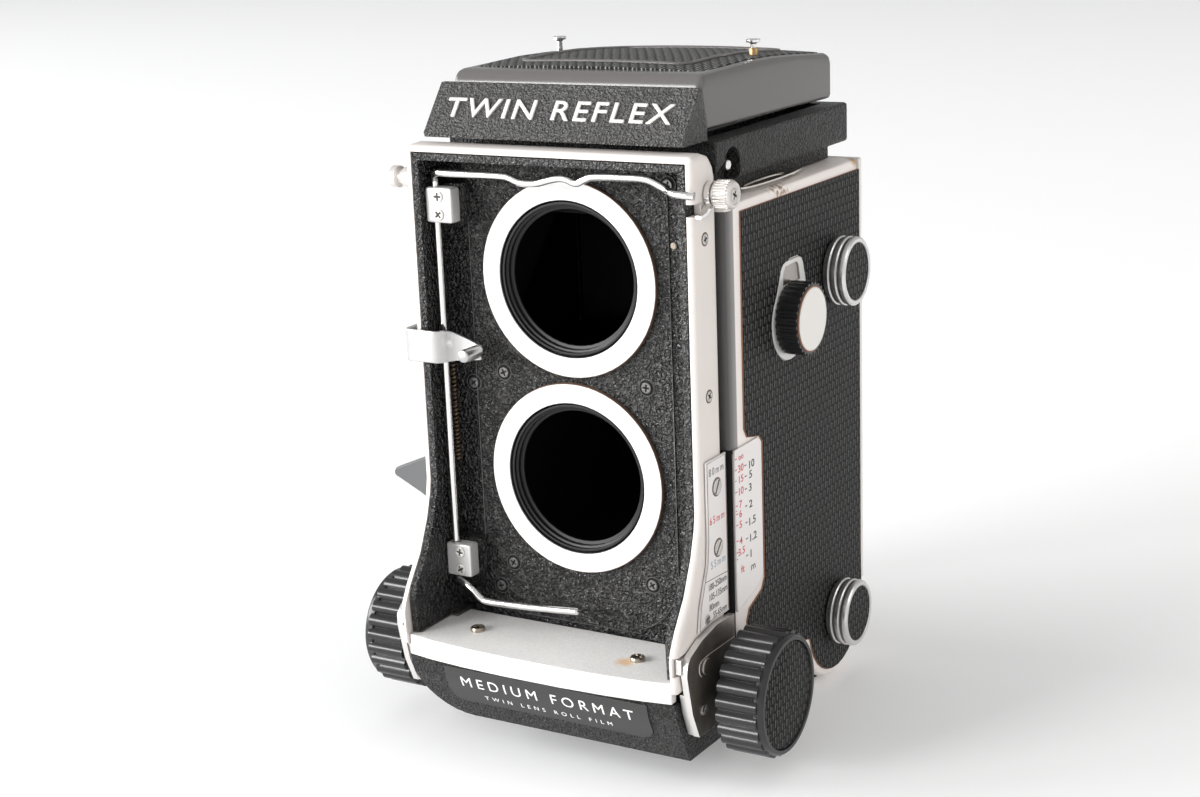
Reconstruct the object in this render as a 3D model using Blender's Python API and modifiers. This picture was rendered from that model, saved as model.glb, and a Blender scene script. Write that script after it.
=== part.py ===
"""Twin lens reflex camera with its lens board taken off, built as separate working pieces.

Lengths below are millimetres. X is to the viewer's right when looking at the lens side, Y runs from the
lens side to the back, Z is up. Y is measured from the front plane of the lens mounts and MID_Y puts the
origin under the middle of the whole camera. Z is measured from just under the film chamber, and GROUND_Z is where the feet stand.
"""

import math

import bmesh
import bpy
from mathutils import Vector

MM = 0.001
MID_Y = 28.9                    # middle of the depth, from the lens-mount plane
GROUND_Z = -1.2                 # underside of the tripod plate and the feet
GAP = 0.3                       # clearance between touching pieces

# Lens side
VIEW_Z = 118.0                  # viewing-lens axis
TAKE_Z = 68.0                   # taking-lens axis
RING_OUT = 24.06                # lens-mount ring, outside radius
RING_IN = 19.34                 # lens-mount ring, inside radius
LIP_Y = -8.8                    # front edge of the black lip
LIP_X = 37.17                   # half width over the black lip
LIP_WALL = 1.7
CASE_X = 39.3                   # half width over the front casting
CASE_TOP = 150.5
CASE_BACK = 2.4
LEDGE_TOP = 29.0

# Body
BODY_X = 41.0                   # half width
BODY_FRONT = 3.6
BODY_BACK = 80.3
BODY_TOP = 137.5
BODY_LOW = 13.5                 # underside between the bed and the spool lobe
SPOOL_Y = 63.0
SPOOL_TOP_Z = 111.2
SPOOL_LOW_Z = 18.4
LOBE_R = 19.1                   # rounded bottom of the film chamber
CHAMBER_X = 31.0                # half width of the light chambers
FILM_X = 32.0                   # half width of the spool chambers

HINGE_Y = 83.2                  # door hinge
HINGE_Z = 18.9

# Lens bail hinge
BAIL_X = -33.3
BAIL_Y = -5.0

# Release lever pivot height
LEVER_Z = 60.6

# Focusing
SHAFT_Y = -0.4
SHAFT_Z = 21.45
PITCH_R = 5.0
RACK_X = 35.0
KNOB_R = 15.4
KNOB_IN = 45.2
KNOB_OUT = 57.25

# Hood
HOOD_X = 37.0
HOOD_LOW = 141.4
HOOD_TOP = 151.5
HOOD_FRONT = 7.0
HOOD_BACK = 82.8
LID_X = 34.0
LID_AXIS_Y = 9.5
LID_AXIS_Z = 163.2
LID_CROWN = [(22.0, 167.0), (34.0, 167.2), (48.0, 166.8), (60.0, 166.0), (70.0, 165.2), (77.0, 164.6)]
LID_LOW = 153.8
LID_LOW_BACK = 152.7
LID_BACK = 79.6


def clear_scene():
    for obj in list(bpy.data.objects):
        bpy.data.objects.remove(obj, do_unlink=True)


clear_scene()
CAMERA = bpy.data.collections.new("twin_lens_reflex_camera")
CUTTERS = bpy.data.collections.new("cutters")
bpy.context.scene.collection.children.link(CAMERA)
bpy.context.scene.collection.children.link(CUTTERS)
CUTTERS.hide_render = True

LOOKS = {
    "off_white_metal": ((0.80, 0.79, 0.76), 0.35, 0.4),
    "crinkle_black": ((0.035, 0.035, 0.037), 0.0, 0.6),
    "gloss_black": ((0.03, 0.03, 0.032), 0.0, 0.3),
    "deep_black": ((0.012, 0.012, 0.013), 0.0, 0.7),
    "chrome": ((0.78, 0.78, 0.79), 1.0, 0.15),
    "satin_metal": ((0.60, 0.60, 0.61), 0.9, 0.4),
    "ring_white": ((0.86, 0.86, 0.85), 0.3, 0.4),
    "leatherette": ((0.04, 0.04, 0.042), 0.0, 0.7),
    "knob_black": ((0.05, 0.05, 0.055), 0.0, 0.4),
    "dark_steel": ((0.20, 0.19, 0.18), 0.9, 0.4),
    "brass": ((0.45, 0.33, 0.20), 1.0, 0.35),
    "glass": ((0.85, 0.88, 0.88), 0.0, 0.1),
    "mirror": ((0.85, 0.86, 0.87), 1.0, 0.05),
    "bellows_black": ((0.02, 0.02, 0.02), 0.0, 0.8),
    "rubber": ((0.03, 0.03, 0.03), 0.0, 0.9),
}


def look(name, kind):
    colour, metallic, roughness = LOOKS[kind]
    material = bpy.data.materials.new(name)
    material.use_nodes = True
    shader = material.node_tree.nodes["Principled BSDF"]
    shader.inputs["Base Color"].default_value = (*colour, 1.0)
    shader.inputs["Metallic"].default_value = metallic
    shader.inputs["Roughness"].default_value = roughness
    return material


def place(name, bm, kind=None, pivot=(0.0, MID_Y, 0.0)):
    """Make an object of a mesh given in millimetres, with its origin at the pivot."""
    bmesh.ops.recalc_face_normals(bm, faces=bm.faces[:])
    base = Vector(pivot)
    for vert in bm.verts:
        vert.co = (vert.co - base) * MM
    mesh = bpy.data.meshes.new(name)
    bm.to_mesh(mesh)
    bm.free()
    obj = bpy.data.objects.new(name, mesh)
    obj.location = (base - Vector((0.0, MID_Y, GROUND_Z))) * MM
    if kind is None:
        CUTTERS.objects.link(obj)
        obj.hide_render = True
        obj.display_type = "WIRE"
    else:
        CAMERA.objects.link(obj)
        mesh.materials.append(look(name, kind))
    return obj


def turn(point, axis):
    """A point (u, v, w) of a profile with w along the axis, as (x, y, z)."""
    u, v, w = point
    return {"X": (w, u, v), "Y": (u, w, v), "Z": (u, v, w)}[axis]


def prism(outline, axis, low, high, bm=None):
    """A closed outline (in the two other axes, in alphabetical order) pushed along an axis."""
    bm = bm or bmesh.new()
    near = [bm.verts.new(turn((u, v, low), axis)) for u, v in outline]
    far = [bm.verts.new(turn((u, v, high), axis)) for u, v in outline]
    count = len(outline)
    bm.faces.new(near)
    bm.faces.new(list(reversed(far)))
    for i in range(count):
        j = (i + 1) % count
        bm.faces.new((near[i], far[i], far[j], near[j]))
    return bm


def box(x, y, z, bm=None):
    return prism([(x[0], y[0]), (x[1], y[0]), (x[1], y[1]), (x[0], y[1])], "Z", z[0], z[1], bm)


def lathe(profile, axis, centre, steps=40, bm=None):
    """Turn a closed profile of (radius, along) points about an axis through the centre (the two other axes)."""
    bm = bm or bmesh.new()
    rings = []
    for radius, along in profile:
        if radius < 1e-6:
            rings.append([bm.verts.new(turn((centre[0], centre[1], along), axis))])
            continue
        ring = []
        for i in range(steps):
            angle = 2 * math.pi * i / steps
            u = centre[0] + radius * math.cos(angle)
            v = centre[1] + radius * math.sin(angle)
            ring.append(bm.verts.new(turn((u, v, along), axis)))
        rings.append(ring)
    count = len(rings)
    for k in range(count):
        a, b = rings[k], rings[(k + 1) % count]
        if len(a) == 1 and len(b) == 1:
            continue
        for i in range(steps):
            j = (i + 1) % steps
            if len(a) == 1:
                bm.faces.new((a[0], b[i], b[j]))
            elif len(b) == 1:
                bm.faces.new((a[i], b[0], a[j]))
            else:
                bm.faces.new((a[i], b[i], b[j], a[j]))
    return bm


def rod(radius, axis, centre, low, high, steps=24, bm=None):
    return lathe([(0, low), (radius, low), (radius, high), (0, high)], axis, centre, steps, bm)


def arc(cu, cv, radius, start, end, steps):
    """Points of an arc, angles in degrees."""
    points = []
    for i in range(steps + 1):
        angle = math.radians(start + (end - start) * i / steps)
        points.append((cu + radius * math.cos(angle), cv + radius * math.sin(angle)))
    return points


def sweep(path, radius, sides=8):
    """A round wire along a path of (x, y, z) points, with flat ends."""
    bm = bmesh.new()
    points = [Vector(p) for p in path]
    rings = []
    side = None
    for i, point in enumerate(points):
        before = points[max(i - 1, 0)]
        after = points[min(i + 1, len(points) - 1)]
        along = (after - before).normalized()
        if side is None:
            side = along.orthogonal().normalized()
        side = (side - along * side.dot(along)).normalized()
        other = along.cross(side)
        scale = 1.0
        if 0 < i < len(points) - 1:
            bend = (point - before).normalized().angle((after - point).normalized())
            scale = 1.0 / max(math.cos(bend / 2), 0.7)
        ring = []
        for k in range(sides):
            angle = 2 * math.pi * k / sides
            offset = side * math.cos(angle) + other * math.sin(angle)
            ring.append(bm.verts.new(point + offset * radius * (1 + (scale - 1) * 0.5)))
        rings.append(ring)
    for a, b in zip(rings, rings[1:]):
        for k in range(sides):
            j = (k + 1) % sides
            bm.faces.new((a[k], a[j], b[j], b[k]))
    bm.faces.new(list(reversed(rings[0])))
    bm.faces.new(rings[-1])
    return bm


def boolean(obj, cutter, operation="DIFFERENCE"):
    modifier = obj.modifiers.new(cutter.name, "BOOLEAN")
    modifier.operation = operation
    modifier.solver = "EXACT"
    modifier.object = cutter
    return modifier


def cut(obj, bm, label):
    boolean(obj, place(obj.name + "_cut_" + label, bm))


def join(obj, bm, label):
    boolean(obj, place(obj.name + "_add_" + label, bm), "UNION")


def round_edges(obj, width, segments=2, angle=35):
    modifier = obj.modifiers.new("rounded_edges", "BEVEL")
    modifier.width = width * MM
    modifier.segments = segments
    modifier.limit_method = "ANGLE"
    modifier.angle_limit = math.radians(angle)
    return modifier


# ---------------------------------------------------------------- body casting
LOBE = arc(SPOOL_Y, SPOOL_LOW_Z + 1.0, LOBE_R, -15, -162, 16)
body_side = [
    (BODY_FRONT, BODY_LOW),
    (BODY_FRONT, BODY_TOP),
    (BODY_BACK, BODY_TOP),
    (BODY_BACK, 16.6),
    *LOBE,
]
body = place("body_casting", prism(body_side, "X", -BODY_X, BODY_X), "off_white_metal")
round_edges(body, 1.6, 2, 50)

# viewing chamber with a sloped floor for the mirror, open to the front and to the focusing screen
viewing = [(2.0, 95.5), (17.0, 95.5), (59.0, 137.5), (60.0, 139.0), (9.0, 139.0), (9.0, 134.5), (2.0, 134.5)]
cut(body, prism(viewing, "X", -CHAMBER_X, CHAMBER_X), "viewing")
# taking chamber and film gate
cut(body, box((-CHAMBER_X, CHAMBER_X), (2.0, 73.0), (37.0, 92.0)), "taking")
cut(body, box((-28.0, 28.0), (72.0, 82.0), (40.0, 96.0)), "gate")
# film chambers, open to the back
upper_room = arc(SPOOL_Y, SPOOL_TOP_Z, 13.4, 90, 270, 12) + [(82.0, 98.6), (82.0, 125.4)]
cut(body, prism(upper_room, "X", -FILM_X, FILM_X), "upper_room")
lower_room = arc(SPOOL_Y, SPOOL_LOW_Z, 14.4, 60, 340, 18) + [(82.0, 14.6), (82.0, 31.9)]
cut(body, prism(lower_room, "X", -FILM_X, FILM_X), "lower_room")
# film path between the gate rails and the pressure plate
cut(body, box((-FILM_X, FILM_X), (76.2, 82.0), (30.0, 100.0)), "film_path")
# recess for the folded bellows
cut(body, box((-36.0, 36.0), (2.0, 13.0), (31.0, 135.9)), "bellows")
# slots for the two racks and pockets for the pinions
for side in (-1, 1):
    edge = sorted((side * 33.1, side * 36.9))
    cut(body, box(edge, (2.0, 60.0), (24.8, 30.4)), "rack_" + "lr"[side > 0])
    cut(body, box(edge, (2.0, 7.0), (12.0, 26.0)), "pinion_" + "lr"[side > 0])
# holes for the spool pins on the right, the wind spindle on the left, the lens-change shaft
cut(body, rod(2.6, "X", (SPOOL_Y, SPOOL_TOP_Z), 20.0, 44.0, 20), "pin_top")
cut(body, rod(2.6, "X", (SPOOL_Y, SPOOL_LOW_Z), 20.0, 44.0, 20), "pin_low")
cut(body, rod(3.4, "X", (SPOOL_Y, SPOOL_TOP_Z), -44.0, -20.0, 20), "spindle")
cut(body, rod(2.6, "X", (36.0, 104.6), 20.0, 44.0, 20), "change_shaft")
# slot in the left wall for the release lever
cut(body, box((-44.0, -36.6), (6.8, 10.4), (LEVER_Z - 4.6, LEVER_Z + 4.6)), "lever_slot")
# ears for the door hinge pin
for side in (-1, 1):
    ear = [(77.6, 9.0), (77.6, 19.9), (81.6, 20.1), *arc(HINGE_Y, HINGE_Z, 1.7, 130, -110, 8), (79.6, 11.5)]
    join(body, prism(ear, "X", *sorted((side * 27.0, side * 31.0))), "ear_" + "lr"[side > 0])
cut(body, rod(0.95, "X", (HINGE_Y, HINGE_Z), -33.0, 33.0, 12), "hinge_bore")

# ---------------------------------------------------------------- side skins
RIGHT_SKIN = [
    (10.6, 135.0), (10.6, 82.6), (12.0, 80.4), (18.6, 79.0), (20.3, 77.0), (20.3, 42.0), (18.6, 39.2),
    (11.6, 36.6), (10.2, 34.0), (10.2, 16.8), (44.2, 16.8),
    *arc(SPOOL_Y, SPOOL_LOW_Z + 1.0, LOBE_R - 2.2, 192, 352, 14),
    (79.3, 30.0), (79.3, 134.6),
]
LEFT_SKIN = [
    (10.6, 135.0), (10.2, 16.8), (44.2, 16.8),
    *arc(SPOOL_Y, SPOOL_LOW_Z + 1.0, LOBE_R - 2.2, 192, 352, 14),
    (79.3, 30.0), (79.3, 134.6),
]
skin_r = place("side_leatherette_right", prism(RIGHT_SKIN, "X", 41.05, 41.55), "leatherette")
skin_l = place("side_leatherette_left", prism(LEFT_SKIN, "X", -41.55, -41.05), "leatherette")
for skin, sign in ((skin_r, 1), (skin_l, -1)):
    ends = sorted((sign * 40.0, sign * 43.0))
    cut(skin, rod(3.6, "X", (SPOOL_Y, SPOOL_TOP_Z), *ends, 24), "top_hole")
    if sign > 0:
        cut(skin, rod(3.6, "X", (SPOOL_Y, SPOOL_LOW_Z), *ends, 24), "low_hole")

CHANGE_Y = 36.0
CHANGE_Z = 104.6
PLATE = [
    *arc(CHANGE_Y + 0.2, CHANGE_Z - 0.6, 10.1, 138, 360, 18),
    (46.4, 108.6), (44.0, 116.8), (41.8, 118.8), (36.4, 118.8), (32.4, 117.2),
]
cut(skin_r, prism([(CHANGE_Y + (y - CHANGE_Y) * 1.03, CHANGE_Z + (z - CHANGE_Z) * 1.03) for y, z in PLATE],
                  "X", 40.0, 43.0), "plate")
change_plate = place("lens_change_plate", prism(PLATE, "X", 41.1, 41.7), "satin_metal")
cut(change_plate, rod(2.6, "X", (CHANGE_Y, CHANGE_Z), 40.0, 43.0, 20), "hole")
cut(change_plate, prism([(34.4, 114.2), (34.4, 116.8), (36.4, 117.8), (41.4, 117.8), (42.4, 116.8), (42.4, 114.2)],
                        "X", 41.35, 43.0), "window")

scale = [(4.6, 78.9), (17.2, 78.9), (18.9, 77.4), (18.9, 43.4), (16.4, 41.2), (4.6, 38.2)]
place("distance_scale_plate", prism(scale, "X", 41.1, 41.5), "satin_metal")

# ---------------------------------------------------------------- bed, rail plates, tripod plate
bed_side = [(-21.5, 23.5), (-20.4, 18.5), (-14.9, 6.6), (1.4, 6.1), (43.6, 6.1), (43.6, 13.2), (3.2, 13.2), (3.2, 23.5)]
bed = place("focusing_bed", prism(bed_side, "X", -37.9, 37.9), "crinkle_black")
corner = [(-46.0, 20.6), *arc(-23.9, 20.6, 14.0, 180, 270, 8), (-23.9, -4.0), (-46.0, -4.0)]
cut(bed, prism(corner, "Y", -30.0, 60.0), "left_corner")
cut(bed, box((-46.0, 46.0), (SHAFT_Y - 2.7, SHAFT_Y + 2.7), (18.6, 26.0)), "shaft_groove")
for side in (-1, 1):
    cut(bed, box(sorted((side * 32.4, side * 37.2)), (-6.2, 4.5), (15.6, 26.0)), "pinion_" + "lr"[side > 0])

plate_side = [
    (3.1, 38.4), (-6.0, 38.8), (-13.6, 37.6), (-19.8, 35.4), (-21.4, 33.4), (-21.6, 31.0), (-20.9, 27.6),
    (-19.3, 20.8), (-16.3, 14.0), (3.1, 13.6),
]
tongue = [(-22.0, 35.2), (-22.0, 31.6), (2.0, 31.6), (2.0, 35.2)]
filler = [(-20.0, 25.6), (-19.0, 20.8), (-16.3, 14.2), (2.0, 14.0), (2.0, 25.6)]
for side, tag in ((1, "right"), (-1, "left")):
    plate = place("rail_plate_" + tag, prism(plate_side, "X", *sorted((side * 39.65, side * 41.3))), "dark_steel")
    join(plate, prism(tongue, "X", *sorted((side * 38.5, side * 40.0))), "tongue")
    join(plate, prism(filler, "X", *sorted((side * 38.3, side * 40.0))), "filler")
    cut(plate, rod(2.5, "X", (SHAFT_Y, SHAFT_Z), *sorted((side * 37.0, side * 43.0)), 20), "shaft")

tripod = place("tripod_plate", rod(15.0, "Z", (0.0, 24.0), GROUND_Z, 5.9, 40), "satin_metal")
cut(tripod, rod(3.2, "Z", (0.0, 24.0), -3.0, 4.4, 20), "socket")
cut(tripod, rod(1.8, "Z", (0.0, 34.0), -3.0, 1.5, 12), "locating")
for side, tag in ((1, "right"), (-1, "left")):
    place("foot_" + tag, rod(3.2, "Z", (side * 33.0, 61.0), GROUND_Z, 0.2, 16), "rubber")

# ---------------------------------------------------------------- front standard
FOOT = [(LIP_Y, 66.0), (LIP_Y - 0.6, 62.5), (-11.3, 56.5), (-15.2, 48.2), (-20.2, 41.4), (-22.6, 37.2)]
case_side = [(CASE_BACK, 144.7), (1.6, 147.2), (-0.4, 149.6), (-3.4, CASE_TOP), (LIP_Y, CASE_TOP - 0.3), *FOOT, (-23.2, 35.0), (-22.8, 26.2), (CASE_BACK, 26.2)]
casting = place("front_casting", prism(case_side, "X", -CASE_X, CASE_X), "off_white_metal")
round_edges(casting, 1.4, 3, 80)
cut(casting, box((-LIP_X - GAP, LIP_X + GAP), (-60.0, 40.0), (0.0, 148.7)), "inside")
for side in (-1, 1):
    cut(casting, box(sorted((side * 38.2, side * 42.0)), (-60.0, 40.0), (31.1, 35.7)), "rail_groove_" + "lr"[side > 0])
cut(casting, box((37.0, 42.0), (-12.0, -5.0), (136.8, 139.6)), "bail_notch")

panel_side = [(3.0, 148.4), (LIP_Y, 148.4), *FOOT[:-1], (-21.2, 38.4), (-20.7, 29.3), (1.5, 29.3), (1.5, 24.2), (3.0, 24.2)]
panel = place("front_panel", prism(panel_side, "X", -LIP_X, LIP_X), "crinkle_black")
inner = LIP_X - LIP_WALL
cut(panel, box((-inner, inner), (-60.0, 1.5), (10.0, 146.7)), "recess")
cut(panel, rod(19.1, "Y", (0.0, VIEW_Z), -5.0, 10.0, 48), "view_hole")
cut(panel, rod(19.1, "Y", (0.0, TAKE_Z), -5.0, 10.0, 48), "take_hole")
for side in (-1, 1):
    cut(panel, box(sorted((side * 33.3, side * 40.0)), (-6.6, 8.0), (10.0, 29.9)), "rack_" + "lr"[side > 0])
# raised pads that carry the bail brackets
join(panel, box((-36.0, -27.2), (-2.7, 2.0), (130.8, 140.3)), "pad_top")
join(panel, box((-36.0, -27.4), (-2.7, 2.0), (39.8, 49.3)), "pad_low")

for tag, z in (("view", VIEW_Z), ("take", TAKE_Z)):
    ring = [(RING_IN, 0.0), (RING_OUT, 0.0), (RING_OUT, 1.2), (RING_IN, 1.2)]
    place("mount_ring_" + tag, lathe(ring, "Y", (0.0, z), 64), "ring_white")
    throat = [(18.2, 0.5), (18.8, 0.5), (18.8, 3.3), (16.8, 3.3), (16.8, 2.7), (17.6, 2.5), (17.6, 1.5), (18.2, 1.3)]
    place("throat_" + tag, lathe(throat, "Y", (0.0, z), 48), "deep_black")

ledge_plan = [
    (35.2, -1.0), (35.2, -6.4), (35.2, -19.8), (37.2, -19.8), (37.2, -22.0), (30.0, -23.2), (20.0, -24.1),
    (8.0, -24.6), (-8.0, -24.6), (-20.0, -24.1), (-30.0, -23.2), (-37.2, -22.0), (-37.2, -19.8), (-35.2, -19.8),
    (-35.2, -6.4), (-35.2, -1.0),
]
ledge = place("front_shelf", prism(ledge_plan, "Z", 23.8, LEDGE_TOP), "off_white_metal")
cut(ledge, box((-46.0, 46.0), (-19.0, 4.0), (20.0, 26.4)), "underside")
for side in (-1, 1):
    cut(ledge, box(sorted((side * 33.0, side * 40.0)), (-6.6, 4.0), (20.0, 32.0)), "rack_" + "lr"[side > 0])

for side, tag in ((1, "right"), (-1, "left")):
    low, high = sorted((side * 33.7, side * 36.3))
    rack = bmesh.new()
    pitch = 2 * math.pi * PITCH_R / 14
    teeth = [(-5.8, 29.2), (-5.8, 27.9)]
    y = -5.6
    while y + pitch < 57.0:
        teeth += [(y + 0.15 * pitch, 26.75), (y + 0.45 * pitch, 26.75), (y + 0.6 * pitch, 27.9), (y + pitch, 27.9)]
        y += pitch
    teeth += [(57.4, 27.9), (57.4, 29.2)]
    prism(teeth, "X", low, high, rack)
    place("rack_" + tag, rack, "satin_metal")

for tag, z0, z1, x1 in (("top", 131.2, 139.9, -27.6), ("low", 40.2, 48.9, -27.9)):
    bracket = place("bail_bracket_" + tag, box((-35.3, x1), (-7.0, -3.0), (z0, z1)), "satin_metal")
    round_edges(bracket, 0.7, 2)
    cut(bracket, rod(1.25, "Z", (BAIL_X, BAIL_Y), z0 - 3.0, z1 + 3.0, 16), "bore")

focal = [
    (-7.0, 78.9), (3.0, 78.9), (3.0, 39.2), (-6.0, 39.3), (-12.8, 38.4), (-11.6, 44.6), (-7.6, 54.0), (-7.0, 60.0),
]
place("focal_length_plate", prism(focal, "X", 39.5, 39.95), "satin_metal")

stud_r = place("stud_right", lathe(
    [(0, 39.6), (2.0, 39.6), (2.0, 41.4), (3.0, 41.4), (3.4, 41.7), (3.4, 45.6), (3.0, 46.1), (2.1, 46.1),
     (1.8, 45.8), (0, 45.8)],
    "X", (-1.4, 141.1), 28), "off_white_metal")
stud_l = place("stud_left", lathe(
    [(0, -39.6), (2.4, -39.6), (2.4, -44.6), (1.8, -44.9), (1.8, -46.0), (2.7, -46.3), (2.7, -48.0), (2.4, -48.4),
     (0, -48.4)], "X", (-1.4, 141.1), 24), "off_white_metal")

# return spring of the release coupling: a close coil, built as a bellows-like stack
SPRING_LOW = 69.0
SPRING_HIGH = 96.8
coil = [(0.35, SPRING_LOW), (0.7, SPRING_LOW)]
turns = 22
for i in range(turns):
    step = (SPRING_HIGH - SPRING_LOW) / turns
    coil += [(0.9, SPRING_LOW + step * (i + 0.5)), (0.7, SPRING_LOW + step * (i + 1))]
coil += [(0.35, SPRING_HIGH)]
place("return_spring", lathe(coil, "Z", (-33.6, -1.6), 8), "brass")

# ---------------------------------------------------------------- lens bail and its catch
bail_path = [
    (3.1, -7.6, 36.5), (-10.3, -7.6, 35.5), (-22.3, -7.6, 35.0), (-25.0, -7.6, 35.6), (-27.0, -7.5, 37.1),
    (-29.4, -7.2, 38.4), (-31.4, -6.5, 38.9), (-32.9, -5.5, 39.2), (BAIL_X, BAIL_Y, 40.4), (BAIL_X, BAIL_Y, 60.0),
    (BAIL_X, BAIL_Y, 100.0), (BAIL_X, BAIL_Y, 140.4), (-33.1, -5.4, 141.8), (-32.3, -6.4, 142.9),
    (-30.6, -7.4, 143.5), (-27.0, -7.6, 143.6), (-12.7, -7.6, 143.7), (-10.0, -7.6, 143.3), (-7.2, -7.6, 142.4),
    (-3.0, -7.6, 142.2), (0.6, -7.6, 143.4), (4.0, -7.6, 144.0), (6.6, -7.6, 143.6), (8.2, -7.6, 142.6),
    (9.8, -7.6, 143.7), (12.0, -7.6, 144.7), (20.0, -7.6, 144.9), (26.5, -7.6, 144.8), (30.0, -7.6, 143.6),
    (32.4, -8.2, 142.6), (34.8, -9.8, 142.2), (38.0, -10.1, 142.0), (40.2, -9.8, 141.9),
]
place("lens_bail", sweep(bail_path, 0.95, 8), "chrome", (BAIL_X, BAIL_Y, 90.0))

CATCH_Y = -1.4
CATCH_Z = 141.1
catch = place("bail_catch", prism(
    [(-2.6, 138.9), (-3.4, 139.6), (-4.7, 138.7), (-5.9, 137.7), (-8.6, 137.2), (-8.6, 136.4), (-5.6, 136.8),
     (-4.0, 137.6), (-2.9, 138.3)],
    "X", 39.6, 41.2), "chrome", (40.4, CATCH_Y, CATCH_Z))
catch_ring = lathe([(2.3, 39.6), (3.0, 39.6), (3.0, 40.9), (2.3, 40.9)], "X", (CATCH_Y, CATCH_Z), 28)
boolean(catch, place("bail_catch_add_ring", catch_ring), "UNION")

# ---------------------------------------------------------------- release coupling
TAB_LOW = 96.8
TAB_HIGH = 104.8
tab = bmesh.new()
tab_plan = [
    (-41.0, 0.8), (-41.0, -9.6), (-32.6, -9.6), (-31.2, -8.4), (-30.6, -7.0), (-29.4, -6.2), (-21.6, -5.6),
    (-21.6, -6.4), (-29.2, -7.0), (-30.0, -7.6), (-30.6, -9.2), (-32.2, -10.4), (-41.8, -10.4), (-41.8, 0.8),
]
prism(tab_plan, "Z", TAB_LOW, TAB_HIGH, tab)
tab = place("release_coupling", tab, "chrome", (-36.0, -10.6, 101.0))
cut(tab, prism([(-30.4, 105.0), (-21.4, 101.2), (-19.0, 101.2), (-19.0, 110.0), (-30.4, 110.0)], "Y", -20.0, 0.0), "slope")
join(tab, box((-41.4, -39.6), (-3.4, 0.4), (TAB_LOW + 1.4, TAB_HIGH - 1.6)), "post")
join(tab, rod(1.7, "Y", (-23.0, 99.8), -12.6, -5.9, 16), "pin")

# ---------------------------------------------------------------- focusing shaft and knobs
shaft = place("focusing_shaft", rod(2.0, "X", (SHAFT_Y, SHAFT_Z), -47.5, 47.5, 20), "satin_metal",
              (0.0, SHAFT_Y, SHAFT_Z))


def gear(outer, root, count, low, high):
    outline = []
    for i in range(count):
        for radius, part in ((root, 0.05), (outer, 0.25), (outer, 0.5), (root, 0.7)):
            angle = 2 * math.pi * (i + part) / count
            outline.append((SHAFT_Y + radius * math.cos(angle), SHAFT_Z + radius * math.sin(angle)))
    return prism(outline, "X", low, high)


for side, tag in ((1, "right"), (-1, "left")):
    join(shaft, gear(4.9, 4.0, 14, *sorted((side * 33.8, side * 36.2))), "pinion_" + tag)


def fluted_knob(centre, radius, dip, count, low, high, rim, side):
    """A knob with round flutes cut in its side and a plain rim at its outer end."""
    outline = []
    for i in range(count):
        for part, depth in ((0.0, 0.0), (0.18, 0.0), (0.36, 0.75), (0.59, 1.0), (0.82, 0.75)):
            angle = 2 * math.pi * (i + part) / count
            reach = radius - dip * depth
            outline.append((centre[0] + reach * math.cos(angle), centre[1] + reach * math.sin(angle)))
    grip = prism(outline, "X", *sorted((side * low, side * (high - rim))))
    return grip


for side, tag in ((1, "right"), (-1, "left")):
    centre = (SHAFT_Y, SHAFT_Z)
    knob = place("focusing_knob_" + tag, fluted_knob(centre, KNOB_R, 1.1, 24, KNOB_IN, KNOB_OUT, 1.4, side),
                 "knob_black", (0.0, SHAFT_Y, SHAFT_Z))
    crown = [
        (0, side * (KNOB_OUT - 2.2)), (15.0, side * (KNOB_OUT - 2.2)), (15.4, side * (KNOB_OUT - 1.4)),
        (15.2, side * (KNOB_OUT - 0.3)), (14.4, side * KNOB_OUT), (13.3, side * KNOB_OUT),
        (13.1, side * (KNOB_OUT - 0.7)), (0, side * (KNOB_OUT - 0.7)),
    ]
    join(knob, lathe(crown, "X", centre, 60), "rim")
    join(knob, rod(5.0, "X", centre, *sorted((side * 41.9, side * (KNOB_IN + 1.0))), 24), "hub")
    cut(knob, rod(2.3, "X", centre, *sorted((side * 40.0, side * 47.8)), 20), "bore")

# ---------------------------------------------------------------- bellows
folds = 4
BELLOWS_Y0 = 3.9
BELLOWS_Y1 = 12.7
outline = []
for i in range(folds * 2 + 1):
    y = BELLOWS_Y0 + (BELLOWS_Y1 - BELLOWS_Y0) * i / (folds * 2)
    outline.append((y, 1.6 if i % 2 else 0.0))
bellows = bmesh.new()
loops = []
for skin, points in ((0.0, outline), (0.5, list(reversed(outline)))):
    for y, inset in points:
        x = 35.4 - inset - skin
        z0 = 31.6 + inset + skin
        z1 = 135.6 - inset - skin
        loops.append([bellows.verts.new(p) for p in ((-x, y, z0), (x, y, z0), (x, y, z1), (-x, y, z1))])
for k, ring in enumerate(loops):
    after = loops[(k + 1) % len(loops)]
    for i in range(4):
        j = (i + 1) % 4
        bellows.faces.new((ring[i], ring[j], after[j], after[i]))
place("bellows", bellows, "bellows_black")

# ---------------------------------------------------------------- mirror, screen, baffle
mirror = [(18.2, 97.2), (57.4, 136.4), (56.4, 137.4), (17.2, 98.2)]
place("reflex_mirror", prism(mirror, "X", -29.0, 29.0), "mirror")
place("focusing_screen", box((-30.4, 30.4), (12.4, 72.0), (138.4, 140.2)), "glass")

BAFFLE_Y = 24.0
BAFFLE_Z = 89.2
baffle = place("light_baffle", box((-29.0, 29.0), (BAFFLE_Y - 0.4, 66.0), (BAFFLE_Z - 0.5, BAFFLE_Z + 0.5)),
               "deep_black", (0.0, BAFFLE_Y, BAFFLE_Z))
join(baffle, rod(1.0, "X", (BAFFLE_Y, BAFFLE_Z), -30.4, 30.4, 12), "axle")

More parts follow.
